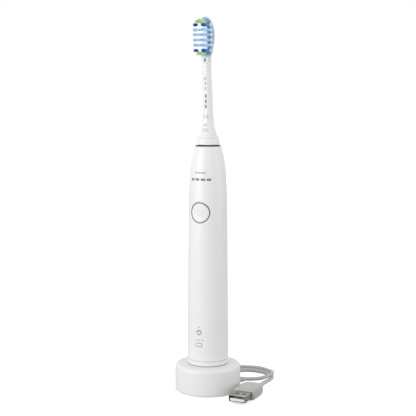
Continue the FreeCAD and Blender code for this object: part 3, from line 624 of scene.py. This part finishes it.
def shell_surface():
    """The handle as a grid of girth by height.  Round the button a square block of the grid is drawn
    in, ring by ring, from the square to a circle, and what is inside the circle is left open."""
    block = BUTTON_BLOCK
    inner = block * OPEN_CELLS / BLOCK_CELLS
    girth = math.pi * shell_radius(BUTTON_HEIGHT)
    fine = np.linspace(-block, block, BLOCK_CELLS + 1)
    beyond = np.linspace(block, girth, 34)[1:]
    across = np.concatenate([-beyond[::-1], fine, beyond])
    below = np.linspace(SHELL_LOW[2], BUTTON_HEIGHT - block, 50)[:-1]
    above = np.linspace(BUTTON_HEIGHT + block, SHOULDER_HIGH[1], 34)[1:]
    up = np.concatenate([below, BUTTON_HEIGHT + fine, above])
    side, rise = np.meshgrid(across, up - BUTTON_HEIGHT)
    ring = np.maximum(abs(side), abs(rise))
    ring = np.where(ring == 0, 1e-9, ring)
    lean_side = np.pi / 4 * rise / ring
    lean_rise = np.pi / 4 * side / ring
    wide = abs(side) >= abs(rise)
    circle_side = np.where(wide, np.sign(side) * np.cos(lean_side), np.sin(lean_rise))
    circle_rise = np.where(wide, np.sin(lean_side), np.sign(rise) * np.cos(lean_rise))
    reach = WINDOW + (ring - inner) * (block - WINDOW) / (block - inner)
    share = eased_share(ring, inner, block)
    side = np.where(ring < block, circle_side * reach * (1 - share) + side * share, side)
    rise = np.where(ring < block, circle_rise * reach * (1 - share) + rise * share, rise)
    height = rise + BUTTON_HEIGHT
    radius = shell_radius(height)
    angle = side / shell_radius(BUTTON_HEIGHT)
    points = np.stack([radius * np.sin(angle), -radius * np.cos(angle), height], -1)
    nose = SHELL_NOSE[1:]
    turn = across / shell_radius(BUTTON_HEIGHT)
    cap = np.stack([nose[:, :1] * np.sin(turn), -nose[:, :1] * np.cos(turn), nose[:, 1:] + 0 * turn], -1)
    points = np.concatenate([points, cap])
    faces = grid(*points.shape[:2])
    spread = np.concatenate([ring, np.full(cap.shape[:2], 99.0)]).ravel()
    return points.reshape(-1, 3), faces[spread[faces].max(1) > inner + 1e-6]


def make_casing():
    """The handle's shell with its wall; its open edges are broken a little."""
    shell = build("handle_moulding", [shell_surface()], "handle", "white_shell", WHITE, "handle_shell")
    wall = shell.modifiers.new("wall", "SOLIDIFY")
    wall.thickness = SHELL_WALL * MM
    wall.offset = -1
    rim = shell.modifiers.new("rim", "BEVEL")
    rim.width = 0.12 * MM
    rim.segments = 2
    rim.limit_method = "ANGLE"
    rim.angle_limit = math.radians(50)


def make_end_cap():
    """The cap under the handle: a rim, a skirt inside the shell, and a blind sleeve for the peg."""
    edge, low, joint, skirt = CAP_HIGH[0], CAP_LOW[2], SHELL_LOW[2] - 0.25, CAP_HIGH[2]
    outer, inner, floor = edge - 1.6, edge - 3.4, 21.4
    recess, roof = 4.95, 27.3
    sleeve, crown = recess + 1.1, roof + 1.1
    cap = rounded([
        (recess, low, 0.4), (edge, low, 1.5), (edge, joint, 0.12), (outer, joint, 0.1), (outer, skirt, 0.2),
        (inner, skirt, 0.2), (inner, floor, 0.3), (sleeve, floor, 0.3), (sleeve, crown, 0.2), (AXIS, crown),
        (AXIS, roof), (recess, roof, 0.4)])
    build("end_cap_moulding", [turned(cap, 128, closed=True)], "handle", "white_shell", WHITE, "end_cap")


def make_seal():
    """The dark seal on the handle's nose: a plug in the bore under a flange with a groove on top."""
    edge, low, top, seat = SEAL_HIGH[0], SEAL_LOW[2], SEAL_HIGH[2], SHELL_TOP + 0.02
    bore, spigot, groove = 2.02, 4.9, top - 0.5
    lip = rounded([
        (bore, low, 0.1), (spigot, low, 0.1), (spigot, seat), (edge, seat, 0.1), (edge, top, 0.2),
        (4.4, top, 0.2), (4.0, groove, 0.15), (3.2, groove, 0.15), (2.8, top, 0.15), (bore, top, 0.15)])
    build("shaft_seal_lip", [turned(lip, 96, closed=True)], "handle", "dark_seal", SEAL_DARK, "shaft_seal")


def on_waist(side, rise, depth):
    """Points on the front of the waist, at a distance across and up from the button's middle."""
    radius = shell_radius(BUTTON_HEIGHT)
    return np.stack([side, depth - np.sqrt(radius ** 2 - side ** 2), BUTTON_HEIGHT + rise], -1)


def disc_on_waist(profile, turns=96, closed=False):
    """A round form let into the waist: (out, depth) of its profile goes round the button's middle."""
    angle = round_angles(turns)
    out, depth = profile[:, :1], profile[:, 1:]
    points = on_waist(out * np.cos(angle), out * np.sin(angle), depth + 0 * angle)
    return points.reshape(-1, 3), grid(len(profile), turns, across=True, along=closed)


BEZEL_IN, BEZEL_OUT, BEZEL_FACE, BEZEL_FOOT = 6.72, 7.36, -0.03, 1.6
CAP_RADIUS, CAP_DISH, CAP_THICK = 6.56, 0.12, 1.4
STEM_RADIUS, STEM_LONG, STEM_FOOT = 1.6, 3.6, -9.3


def make_button():
    """The metal ring round the button, and the button's dished cap with its stem."""
    ring = rounded([(BEZEL_IN, BEZEL_FOOT), (BEZEL_IN, BEZEL_FACE, 0.1), (BEZEL_OUT, BEZEL_FACE, 0.14),
                    (BEZEL_OUT, BEZEL_FOOT)], 5)
    build("button_bezel", [disc_on_waist(ring, 128, closed=True)], "handle", "grey_bezel", BEZEL,
          "button_ring")
    cap = rounded([(AXIS, CAP_DISH), (3.6, CAP_DISH - 0.02, 1.2), (6.0, 0.0, 0.5), (CAP_RADIUS, 0.0, 0.22),
                   (CAP_RADIUS, CAP_THICK, 0.1), (AXIS, CAP_THICK)])
    stem = rounded([(AXIS, 0), (STEM_RADIUS, 0, 0.2), (STEM_RADIUS, STEM_LONG), (AXIS, STEM_LONG)])
    post = aimed(turned(stem, 32), (0, STEM_FOOT, BUTTON_HEIGHT), (0, -1, 0))
    build("button_cap", [disc_on_waist(cap), post], "power_button", "white_shell", WHITE, "power_button")


def pill(length, width, steps=24):
    """Half widths along a bar with round ends: (distance along, half width)."""
    along = (length / 2) * np.sin(np.linspace(-np.pi / 2, np.pi / 2, steps))
    over = np.clip(abs(along) - (length / 2 - width / 2), 0, width / 2)
    return along, np.sqrt(np.clip((width / 2) ** 2 - over ** 2, 0, None))


def ribbon(middle, half):
    """A flat band of (across, up) points: a line, widened by half a width to each side of it."""
    way = np.gradient(middle, axis=0)
    way = way / np.linalg.norm(way, axis=1, keepdims=True)
    side = np.stack([-way[:, 1], way[:, 0]], -1) * np.reshape(half, (-1, 1))
    flat = np.stack([middle - side, middle - side / 3, middle + side / 3, middle + side], 1)
    return flat.reshape(-1, 2), grid(len(middle), 4)


def bar(centre, length, width, upright=False):
    """A bar with round ends, lying or standing."""
    along, half = pill(length, width)
    line = np.stack([along, 0 * along], -1)
    return ribbon((line[:, ::-1] if upright else line) + np.array(centre), half)


def loop(centre, wide, high, thick, power=2.0, start=0.0, end=360.0):
    """A thin closed or open band along a superellipse."""
    angle = np.radians(np.linspace(start, end, 49))
    middle = np.stack(squarish(angle, wide, high, power), -1)
    return ribbon(middle + np.array(centre), np.full(len(angle), thick / 2))


def laid(flats, surface):
    """Flat (across, up) bands laid on a curved surface."""
    return [(surface(points[:, 0], points[:, 1]), faces) for points, faces in flats]


def on_handle(across, up):
    """Points on the handle's front, proud of it by a print's thickness."""
    radius = shell_radius(up) + PRINT_LIFT
    angle = across / radius
    return np.stack([radius * np.sin(angle), -radius * np.cos(angle), up], -1)


def on_cap(across, up):
    """Points on the button's face."""
    return on_waist(across, up, CAP_DISH - 0.035)


def make_marks():
    """Plain printed marks: two bars, and the lights' symbols near the foot.  No lettering."""
    def mark(name, bands, material, surface=on_handle, body="handle", slot="grey_bezel"):
        """Flat bands laid on a surface as one piece."""
        build(name, laid(bands, surface), body, slot, material)

    mark("mark_lower", [bar((across, 150.7), 3.4, 1.7) for across in (-6.3, -2.1, 2.1, 6.3)], MARK_DARK)
    mark("mark_upper", [bar((0, 155.3), 8.6, 0.8)], MARK_FAINT)
    mark("mark_symbols", [
        loop((0, 43.9), 3.6, 3.2, 0.42), bar((0, 42.6), 2.6, 0.5), bar((-0.9, 44.6), 1.5, 0.4, True),
        bar((0.1, 44.8), 1.5, 0.4, True), bar((1.1, 44.5), 1.3, 0.4, True),
        loop((0, 35.1), 4.6, 2.6, 0.42, 4.0)], MARK_DARK)
    mark("mark_lamp", [bar((0, 47.7), 1.1, 0.9)], MARK_FAINT)
    mark("level_lamps", [bar((across, 38.5), 1.15, 1.1) for across in (-2.4, 0.0, 2.4)], LAMP_GREEN,
         slot="clear_guide")
    mark("mark_power", [loop((0, -0.1), 3.9, 3.9, 0.38, 2.0, 125.0, 415.0), bar((0, 1.55), 1.9, 0.38, True)],
         MARK_PALE, on_cap, "power_button", "white_shell")


# ---------------------------------------------------------------- brush head
# Up the neck and head: height, half width, front, back, and how square the section is.
NECK = np.array([
    (178.95, 7.15, -7.15, 7.15, 2.0), (181.6, 5.95, -5.95, 5.95, 2.0), (184.4, 5.05, -5.05, 5.05, 2.0),
    (187.6, 4.35, -4.35, 4.35, 2.0), (192.0, 3.8, -3.85, 3.75, 2.0), (199.0, 3.4, -3.7, 3.1, 2.1),
    (208.0, 3.3, -4.0, 2.6, 2.2), (218.0, 3.1, -4.5, 1.7, 2.3), (226.0, 3.05, -5.1, 0.9, 2.3),
    (230.0, 3.1, -5.2, 0.35, 2.3), (233.0, 3.2, -4.4, -0.05, 2.3), (236.0, 3.5, -3.2, -0.25, 2.4),
    (240.0, 4.0, -2.5, -0.35, 2.6), (246.0, 4.7, -2.4, -0.38, 2.8), (252.0, 4.6, -2.4, -0.4, 2.8),
    (256.0, 3.8, -2.4, -0.45, 2.6), (258.6, 2.6, -2.3, -0.7, 2.4), (260.2, 1.2, -2.0, -1.1, 2.2)])
# Half the plate's outline: height and half width.
OUTLINE = np.array([
    (229.5, 0.0), (229.8, 1.1), (230.5, 1.9), (232.0, 2.4), (233.9, 2.65), (236.1, 3.6), (238.5, 4.6),
    (240.9, 5.2), (243.4, 5.8), (246.2, 6.25), (248.9, 6.4), (251.6, 6.3), (254.3, 5.8), (256.5, 5.1),
    (258.2, 4.25), (260.0, 2.8), (261.1, 1.45), (261.5, 0.0)])


def neck_section(height):
    """Half width, middle, half depth and squareness of the neck at heights."""
    half, front, back, power = (smooth(NECK[:, 0], NECK[:, k], height) for k in (1, 2, 3, 4))
    return half, (front + back) / 2, (back - front) / 2, power


def lean(points, share=1.0):
    """Points tilted forward with the bristle head, about a crosswise line in the plate's back."""
    up, along = points[..., 2] - TILT_HEIGHT, points[..., 1] + PLATE_BACK
    moved = np.array(points, float)
    moved[..., 1] = along * math.cos(HEAD_TILT) - up * math.sin(HEAD_TILT) - PLATE_BACK
    moved[..., 2] = along * math.sin(HEAD_TILT) + up * math.cos(HEAD_TILT) + TILT_HEIGHT
    return points + np.reshape(share, (-1,) + (1,) * (points.ndim - 1)) * (moved - points)


def leaned(surface):
    """A surface tilted forward with the bristle head."""
    return lean(surface[0]), surface[1]


def neck_surface():
    """A superellipse carried up the neck, its width, place and squareness changing on the way; the
    top closes on a point, and the upper end leans with the plate."""
    height = np.concatenate([np.linspace(NECK[0, 0], 200, 60), np.linspace(200, NECK[-1, 0], 110)[1:]])
    angle = round_angles(64)
    half, middle, depth, power = (part[:, None] for part in neck_section(height))
    across, along = squarish(angle, 2 * half, 2 * depth, power)
    points = np.stack([across, middle + along, height[:, None] + 0 * angle], -1)
    tip = np.tile((0, middle[-1, 0], NECK[-1, 0] + 0.35), (1, len(angle), 1))
    foot = np.tile((0, 0, NECK[0, 0]), (1, len(angle), 1))
    points = np.concatenate([foot, points, tip])
    points = lean(points, eased_share(points[:, 0, 2], LEAN_START, LEAN_FULL))
    return points.reshape(-1, 3), grid(*points.shape[:2], across=True)


def plate_outline(steps=60):
    """The plate's closed outline as (across, up) points, evenly spread by the distance round it."""
    half = np.vstack([OUTLINE, OUTLINE[-2:0:-1] * (1, -1)])
    closed = np.vstack([half, half[:1]])
    run = np.concatenate([[0], np.cumsum(np.linalg.norm(np.diff(closed, axis=0), axis=1))])
    wrapped = np.concatenate([run[:-1] - run[-1], run, run[1:] + run[-1]])
    values = np.vstack([closed[:-1], closed, closed[1:]])
    at = np.linspace(0, run[-1], 2 * steps, endpoint=False)
    up = smooth(wrapped, values[:, 0], at)
    across = smooth(wrapped, values[:, 1], at)
    return np.stack([across, up], -1)


TONGUE_SWELL, TONGUE_FOOT, TONGUE_TOP = 0.75, 231, 237
SPINE_LOW, SPINE_HIGH = 233.5, 256.0


def plate_front_at(up):
    """How far forward the plate's face is: it swells a little towards the tongue's foot."""
    return -PLATE_FRONT - TONGUE_SWELL * eased_share(-up, -TONGUE_TOP, -TONGUE_FOOT)


def plate_surface():
    """The see-through plate: its outline is drawn in towards a line up its middle, and (draw, depth)
    of a rounded profile goes round it, so the face, the rim and the back are one closed skin."""
    outline = plate_outline()
    spine = np.stack([0 * outline[:, 0], np.clip(outline[:, 1], SPINE_LOW, SPINE_HIGH)], -1)
    profile = rounded([(0.0, 0.0), (1.0, 0.0, 0.13), (1.0, 1.0, 0.2), (0.0, 1.0)], 9)
    profile = np.vstack([np.stack([np.linspace(0, 0.84, 8), np.zeros(8)], -1), profile[1:-1],
                         np.stack([np.linspace(0.78, 0, 8), np.ones(8)], -1)])
    draw, depth = profile[:, 0][:, None, None], profile[:, 1][:, None]
    flat = spine + (outline - spine) * draw
    front = plate_front_at(flat[..., 1])
    points = np.stack([flat[..., 0], front + (-PLATE_BACK - front) * depth, flat[..., 1]], -1)
    return points.reshape(-1, 3), grid(*points.shape[:2], across=True)


# Tufts by colour: distance to each side of the middle (0 is a single one) and height.
DEEP_TUFTS = [(3.0, 238.8), (3.0, 255.9)]
LIGHT_TUFTS = [(3.2, 242.4), (3.3, 245.8), (3.3, 249.4), (3.2, 252.6)]
GREEN_TUFTS = [(0.9, 236.7), (1.6, 257.9), (0, 258.9)]
WHITE_TUFTS = [(0, 238.8), (1.25, 240.6), (1.25, 244.1), (1.25, 247.6), (1.25, 251.0), (1.25, 254.2),
               (0, 256.1)]


def spots(rows):
    """The tufts' (across, up) places."""
    return [(side * out, up) for out, up in rows for side in ((-1, 1) if out else (0,))]


EDGE_SPOTS = spots(DEEP_TUFTS + LIGHT_TUFTS)
TUFT_RADIUS, TUFT_FLARE, FILAMENT_RADIUS = 0.85, 0.22, 0.088
COLLAR_BORE, COLLAR_FOOT, COLLAR_LIP, COLLAR_TALL = 0.86, 1.35, 1.15, 0.75


def lobes(reach, size, lift):
    """Soft lumps along both edges of the plate, one beside each outer tuft, half sunk in its face."""
    polar, azimuth = np.linspace(0, np.pi, 13)[:, None], round_angles(24)
    ball = np.stack([np.sin(polar) * np.cos(azimuth), np.sin(polar) * np.sin(azimuth),
                     np.cos(polar) + 0 * azimuth], -1).reshape(-1, 3)
    faces = grid(len(polar), len(azimuth), across=True)
    places = [(across + math.copysign(reach, across), -PLATE_FRONT + lift, up)
              for across, up in EDGE_SPOTS]
    return [leaned((ball * size + np.array(place), faces)) for place in places]


def collars():
    """Low sleeves round the outer tufts' feet."""
    profile = rounded([(COLLAR_BORE, 0.0), (COLLAR_FOOT, 0.0), (COLLAR_LIP, COLLAR_TALL, 0.2),
                       (COLLAR_BORE, COLLAR_TALL, 0.08)])
    sleeve = turned(profile, 28, closed=True)
    return [leaned(aimed(sleeve, (across, -PLATE_FRONT, up), (0, -1, 0))) for across, up in EDGE_SPOTS]


def filaments(places, length):
    """Tufts of nylon: filaments stand on rings about each tuft's middle, spread as they rise, differ
    a little in length and lean, and end in a rounded point."""
    rings = [(0.0, 1), (0.21, 6), (0.42, 12), (0.63, 18), (TUFT_RADIUS - 0.03, 23)]
    stand = np.concatenate([
        out * np.stack([np.cos(round_angles(n)), np.sin(round_angles(n))], -1) for out, n in rings])
    places = np.asarray(places, float)
    roots = (places[:, None] + stand).reshape(-1, 2)
    away = np.tile(stand, (len(places), 1))
    count = len(roots)
    reach = length + CHANCE.uniform(-0.16, 0.16, (count, 1))
    stray = CHANCE.normal(0, 0.10, (count, 1, 2))
    rise = np.array([0.0, 0.45, 0.8, 0.94, 0.985, 1.0])
    thick = np.array([1.0, 1.0, 0.96, 0.85, 0.5, 0.0]) * FILAMENT_RADIUS
    middle = roots[:, None] + (away[:, None] * TUFT_FLARE + stray) * (rise ** 2)[None, :, None]
    angle = round_angles(5)
    circle = np.stack([np.cos(angle), np.sin(angle)], -1)
    around = middle[:, :, None] + circle * thick[:, None, None]
    forward = np.broadcast_to((-PLATE_FRONT - reach * rise)[:, :, None], around.shape[:3])
    points = np.stack([around[..., 0], forward, around[..., 1]], -1).reshape(-1, 3)
    one = grid(len(rise), len(angle), across=True)
    faces = (one[None] + np.arange(count)[:, None, None] * len(rise) * len(angle)).reshape(-1, 4)
    return leaned((points, faces))


TUFT_KINDS = [
    ("deep_blue", DEEP_TUFTS, TUFT_LONG, DEEP_BLUE), ("light_blue", LIGHT_TUFTS, TUFT_LONG, LIGHT_BLUE),
    ("green", GREEN_TUFTS, TUFT_LONG, GREEN), ("white", WHITE_TUFTS, TUFT_SHORT, PALE)]
HEAD_BORE, NECK_FOOT = 4.4, 7.22


def make_head():
    """Base ring, neck and head core, the see-through plate with its tongue, and the tufts."""
    low, edge, top = BASE_LOW[2], BASE_HIGH[0], BASE_HIGH[2]
    ring = rounded([(HEAD_BORE, low, 0.2), (edge, low, 0.5), (NECK_FOOT, top, 0.1), (HEAD_BORE, top)])
    build("head_base_band", [turned(ring, 128, closed=True)], "brush_head", "head_white", HEAD_WHITE,
          "head_base_ring")
    build("head_moulding", [neck_surface()], "brush_head", "head_white", HEAD_WHITE, "head_neck")
    plate = [leaned(plate_surface())] + lobes(1.75, (1.25, 0.95, 1.45), 0.35) + collars()
    build("clear_plate", plate, "brush_head", "plate_blue", PLATE_BLUE, "bristle_plate")
    # These lumps are real shapes, and their near-white colour is a painted highlight.
    build("highlight_lobes", lobes(1.55, (1.2, 1.55, 1.3), -0.05), "brush_head", "plate_blue", LOBE_HIGHLIGHT_WHITE)
    for colour, rows, length, material in TUFT_KINDS:
        build("bristles_" + colour, [filaments(spots(rows), length)], "brush_head", "bristle_" + colour,
              material, "tufts_" + colour)


def on_neck(across, up):
    """Points on the neck's front, proud of it by a print's thickness."""
    half, middle, depth, power = neck_section(up)
    share = np.clip(abs(across) / half, 0, 0.999)
    front = middle - depth * (1 - share ** power) ** (1 / power)
    return np.stack([across, front - PRINT_LIFT, up], -1)


def make_neck_marks():
    """Plain printed marks up the neck: bars, rings and arcs.  No lettering."""
    marks = [
        ("neck_mark_lower", MARK_DARK, [bar((0, up), 2.6, 1.3, True) for up in (200.6, 204.2, 207.8)]),
        ("neck_mark_upper", MARK_FAINT, [bar((0, up), 2.2, 1.0, True) for up in (213.0, 216.4, 219.8)]),
        ("neck_symbols", MARK_DARK, [
            loop((0, 193.9), 2.9, 1.9, 0.3, 4.0), loop((0, 187.8), 1.8, 1.8, 0.32),
            loop((0, 187.2), 4.4, 4.4, 0.34, 2.0, 225, 315),
            loop((0, 187.0), 6.6, 6.6, 0.36, 2.0, 228, 312)])]
    for name, material, bands in marks:
        build(name, laid(bands, on_neck), "brush_head", "head_white", material)


INLAY_HEIGHT, INLAY_HALF_WIDE, INLAY_HALF_TALL = 232.2, 0.82, 1.5
INLAY_SINK, INLAY_DOME = 0.12, 0.35


def make_inlay():
    """The blue inlay in the tongue: an oval dome, its foot just under the plate's face."""
    angle = round_angles(40)
    rise = np.linspace(0, np.pi / 2, 7)[:, None]
    dome = np.stack([INLAY_HALF_WIDE * np.cos(angle) * np.cos(rise),
                     plate_front_at(INLAY_HEIGHT) + INLAY_SINK - INLAY_DOME * np.sin(rise) + 0 * angle,
                     INLAY_HEIGHT + INLAY_HALF_TALL * np.sin(angle) * np.cos(rise)], -1)
    inlay = leaned((dome.reshape(-1, 3), grid(len(rise), len(angle), across=True)))
    build("tongue_inlay", [inlay], "brush_head", "plate_blue", INLAY_BLUE)


# ---------------------------------------------------------------- coil's tie
BUNDLE_WIDE, BUNDLE_TALL, BUNDLE_SQUARE = 14.0, 5.36, 7.0
BUNDLE_UP, BUNDLE_OUT = 2.72, (COIL_OUTER + COIL_INNER) / 2
STRAP_TURN = math.radians(128)
STRAP_WIDE = 4.0


def strap(start, end, lift, thick):
    """A band round the coil's turns: a squarish loop seen along the cord, from one angle to another,
    with a flat section, in the upright plane through the coil's middle."""
    angle = np.radians(np.linspace(start, end, 73))
    closed = end - start >= 360
    angle = angle[:-1] if closed else angle
    (side, up), (outer_side, outer_up) = (
        squarish(angle, BUNDLE_WIDE + 2 * gap, BUNDLE_TALL + 2 * gap, BUNDLE_SQUARE)
        for gap in (lift, lift + thick))
    out = BUNDLE_OUT + np.stack([side, side, outer_side, outer_side], 1)
    rise = np.maximum(np.stack([up, up, outer_up, outer_up], 1) + BUNDLE_UP, 0.0)
    width = np.array([-1, 1, 1, -1]) * STRAP_WIDE / 2 + 0 * out
    points = np.stack([COIL_MIDDLE[0] + out * math.cos(STRAP_TURN) - width * math.sin(STRAP_TURN),
                       COIL_MIDDLE[1] + out * math.sin(STRAP_TURN) + width * math.cos(STRAP_TURN), rise], -1)
    faces = grid(len(angle), 4, across=True, along=closed)
    if not closed:
        last = 4 * (len(angle) - 1)
        faces = np.vstack([faces, [[3, 2, 1, 0], [last, last + 1, last + 2, last + 3]]])
    return points.reshape(-1, 3), faces


def make_tie():
    """A woven strap closed on itself holds the coiled length."""
    straps = [strap(0, 360, 0.0, 0.3), strap(38, 150, 0.3, 0.25)]
    band = build("coil_tie", straps, "charger", "soft_foot", TIE)
    soft = band.modifiers.new("soft", "BEVEL")
    soft.width = 0.08 * MM
    soft.limit_method = "ANGLE"
    return band


# ---------------------------------------------------------------- plug
PLUG_PLACE = (34.0, -25.8)
PLUG_TURN = math.radians(0.3)
STEEL_WIDE, STEEL_TALL, STEEL_LIFT, STEEL_BEND = 12.0, 4.5, 1.75, 0.55
STEEL_WALL = 0.3
WINDOW_OUT, WINDOW_HALF, WINDOW_START, WINDOW_END = 2.6, 1.1, 5.2, 7.6
GRIP_MIDDLE = 4.0
# Along the grip: distance from the steel's mouth, width, height, and how square the section is.
GRIP_SECTIONS = np.array([
    (12.0, 0.01, 0.01, 4.5), (12.0, 14.2, 6.6, 4.5), (12.15, 14.9, 7.2, 4.5), (12.6, 15.5, 7.7, 4.5),
    (13.4, 15.8, 8.0, 4.5), (15, 15.8, 8.0, 4.5), (19, 15.8, 8.0, 4.5), (23, 15.8, 8.0, 4.5),
    (26.5, 15.6, 8.0, 4.5), (28.6, 15.0, 7.8, 4.2), (30.2, 13.9, 7.4, 4.0), (31.4, 12.3, 6.8, 3.6),
    (32.2, 10.3, 6.0, 3.2), (32.7, 8.2, 5.2, 2.8), (33.0, 6.0, 4.4, 2.4), (33.1, 3.6, 3.2, 2.2),
    (33.1, 0.01, 0.01, 2.0)])
# Along the tongue: distance from the steel's mouth, and share of its full section.
TONGUE_SECTIONS = np.array([
    (0.55, 0.001), (0.55, 0.93), (0.7, 0.98), (1.0, 1), (6.0, 1), (11.8, 1), (11.8, 0.001)])
TONGUE_WIDE, TONGUE_TALL, TONGUE_SQUARE = 11.0, 1.88, 7.0
TONGUE_MIDDLE = STEEL_LIFT + 1.31


def at_plug(surface):
    """A surface made along +Y at the origin, put where the plug lies."""
    turn = np.array(Matrix.Rotation(PLUG_TURN, 3, "Z"))
    return surface[0] @ turn.T + np.array((*PLUG_PLACE, 0)), surface[1]


def carried(angle, along, wide, high, power, middle):
    """Squarish sections carried along the plug, about a line at a height."""
    across, up = squarish(angle, wide[:, None], high[:, None], power)
    points = np.stack([across, along[:, None] + 0 * angle, up + middle], -1)
    return at_plug((points.reshape(-1, 3), grid(*points.shape[:2], across=True)))


def folded_shell():
    """The plug's folded steel: a rounded oblong carried back, with two square windows above and two
    below left open."""
    half, tall, bend = STEEL_WIDE / 2, STEEL_TALL / 2, STEEL_BEND
    flat = np.array([-5.4, -3.7, -2.6, -1.5, 0, 1.5, 2.6, 3.7, 5.4])
    turn = np.linspace(0, np.pi / 2, 6)[1:-1]
    corner = np.stack([half - bend + bend * np.sin(turn), tall - bend + bend * np.cos(turn)], -1)
    top = np.stack([flat, 0 * flat + tall], -1)
    side = np.array([(half, tall - bend), (half, 0), (half, bend - tall)])
    right = np.vstack([top, corner, side, corner[::-1] * (1, -1)])
    section = np.vstack([right, top[::-1] * (1, -1), -corner, side[::-1] * (-1, 1), corner[::-1] * (-1, 1)])
    along = np.array([0.0, 0.12, 1.5, 3.3, 5.2, 6.4, 7.6, 9.8, 12.4])
    swell = np.where(along > 0, 1, 0.985)[:, None]
    points = np.stack([section[:, 0] * swell, along[:, None] + 0 * section[:, 0],
                       section[:, 1] * swell + STEEL_LIFT + tall], -1).reshape(-1, 3)
    faces = grid(len(along), len(section), across=True)
    middle = points[faces].mean(1)
    open_side = abs(abs(middle[:, 0]) - WINDOW_OUT) < WINDOW_HALF
    open_length = (middle[:, 1] > WINDOW_START) & (middle[:, 1] < WINDOW_END)
    flat_side = abs(abs(middle[:, 2] - STEEL_LIFT - tall) - tall) < 0.02
    return points, faces[~(open_side & open_length & flat_side)]


def make_plug():
    """Moulded grip, folded shell, and the tongue inside it."""
    along, wide, high, power = GRIP_SECTIONS.T
    block = carried(round_angles(96), along, wide, high, power[:, None], GRIP_MIDDLE)
    grip = build("plug_grip_moulding", [block], "charger", "plug_plastic", GRIP, "plug_grip")
    shell = build("plug_folded_shell", [at_plug(folded_shell())], "charger", "plug_steel", PLUG_STEEL,
                  "plug_shell", sharp=50)
    wall = shell.modifiers.new("wall", "SOLIDIFY")
    wall.thickness = STEEL_WALL * MM
    wall.offset = -1
    along, share = TONGUE_SECTIONS.T
    tongue = carried(round_angles(48), along, TONGUE_WIDE * share, TONGUE_TALL * share, TONGUE_SQUARE,
                     TONGUE_MIDDLE)
    build("plug_tongue_bar", [tongue], "charger", "plug_tongue", TONGUE, "plug_tongue")
    return grip, shell


# ---------------------------------------------------------------- floor and light
FLOOR_REACH = 4.0
FLOOR_LIT, FLOOR_SEEN = (0.45, 0.45, 0.45), (0.93, 0.93, 0.93)
FLOOR_GLOW, FLOOR_GLOW_SEEN = 0.15, 0.55
ROOM_LIGHT, ROOM_SEEN = 0.72, 1.0
PURE_WHITE = (1, 1, 1)
AIM_HEIGHT = 0.12


def make_floor():
    """A pale floor: the camera sees it almost white, and to other rays it is greyer, so that it
    throws less light up at the object."""
    mesh = bpy.data.meshes.new("floor")
    reach = FLOOR_REACH
    mesh.from_pydata([(-reach, -reach, 0), (reach, -reach, 0), (reach, reach, 0), (-reach, reach, 0)], [],
                     [(0, 1, 2, 3)])
    floor = bpy.data.objects.new("floor", mesh)
    SCENE.collection.objects.link(floor)
    made, tree, shader = blank_material("floor")
    seen = add(tree, "ShaderNodeLightPath").outputs["Is Camera Ray"]
    feed(tree, shader, {
        "Base Color": blended(tree, seen, FLOOR_LIT, FLOOR_SEEN), "Roughness": 0.9,
        "Specular IOR Level": 0.1, "Emission Color": PURE_WHITE,
        "Emission Strength": between(tree, seen, FLOOR_GLOW, FLOOR_GLOW_SEEN)})
    mesh.materials.append(made)


def make_room():
    """A white room that lights softly, and looks pure white to the camera and in reflections."""
    world = bpy.data.worlds.new("room")
    world.use_nodes = True
    SCENE.world = world
    tree = world.node_tree
    room = tree.nodes["Background"]
    feed(tree, room, {"Color": PURE_WHITE, "Strength": ROOM_LIGHT})
    seen = add(tree, "ShaderNodeBackground", {"Color": PURE_WHITE, "Strength": ROOM_SEEN})
    ray = add(tree, "ShaderNodeLightPath")
    direct = add(tree, "ShaderNodeMath", operation="MAXIMUM")
    tree.links.new(ray.outputs["Is Camera Ray"], direct.inputs[0])
    tree.links.new(ray.outputs["Is Glossy Ray"], direct.inputs[1])
    choice = add(tree, "ShaderNodeMixShader", {"Fac": direct.outputs["Value"]})
    tree.links.new(room.outputs["Background"], choice.inputs[1])
    tree.links.new(seen.outputs["Background"], choice.inputs[2])
    feed(tree, tree.nodes["World Output"], {"Surface": choice.outputs["Shader"]})
    SCENE.view_settings.view_transform = "Standard"
    SCENE.view_settings.look = "None"


def soft_light(name, turn, height, away, size, power):
    """A square softbox, aimed at the handle: a turn in degrees from the camera's side, a height, a
    distance and a size in metres, and a power."""
    data = bpy.data.lights.new(name, "AREA")
    data.size = size
    data.energy = power
    lamp = bpy.data.objects.new(name, data)
    angle = CAMERA_TURN + math.radians(turn)
    place = Vector((away * math.sin(angle), -away * math.cos(angle), height))
    lamp.location = place
    lamp.rotation_euler = (Vector((0, 0, AIM_HEIGHT)) - place).to_track_quat("-Z", "Y").to_euler()
    SCENE.collection.objects.link(lamp)


finish_cad_nodes()
make_cover()
relief = make_relief()
make_casing()
make_end_cap()
make_seal()
make_button()
make_marks()
make_head()
make_neck_marks()
make_inlay()
grip, shell = make_plug()
tie = make_tie()
cord.data.materials.clear()
cord.data.materials.append(JACKET)
make_floor()
make_room()
soft_light("key", turn=-55, height=0.28, away=1.1, size=0.9, power=7.2)
soft_light("fill", turn=75, height=0.35, away=1.2, size=1.0, power=3.4)
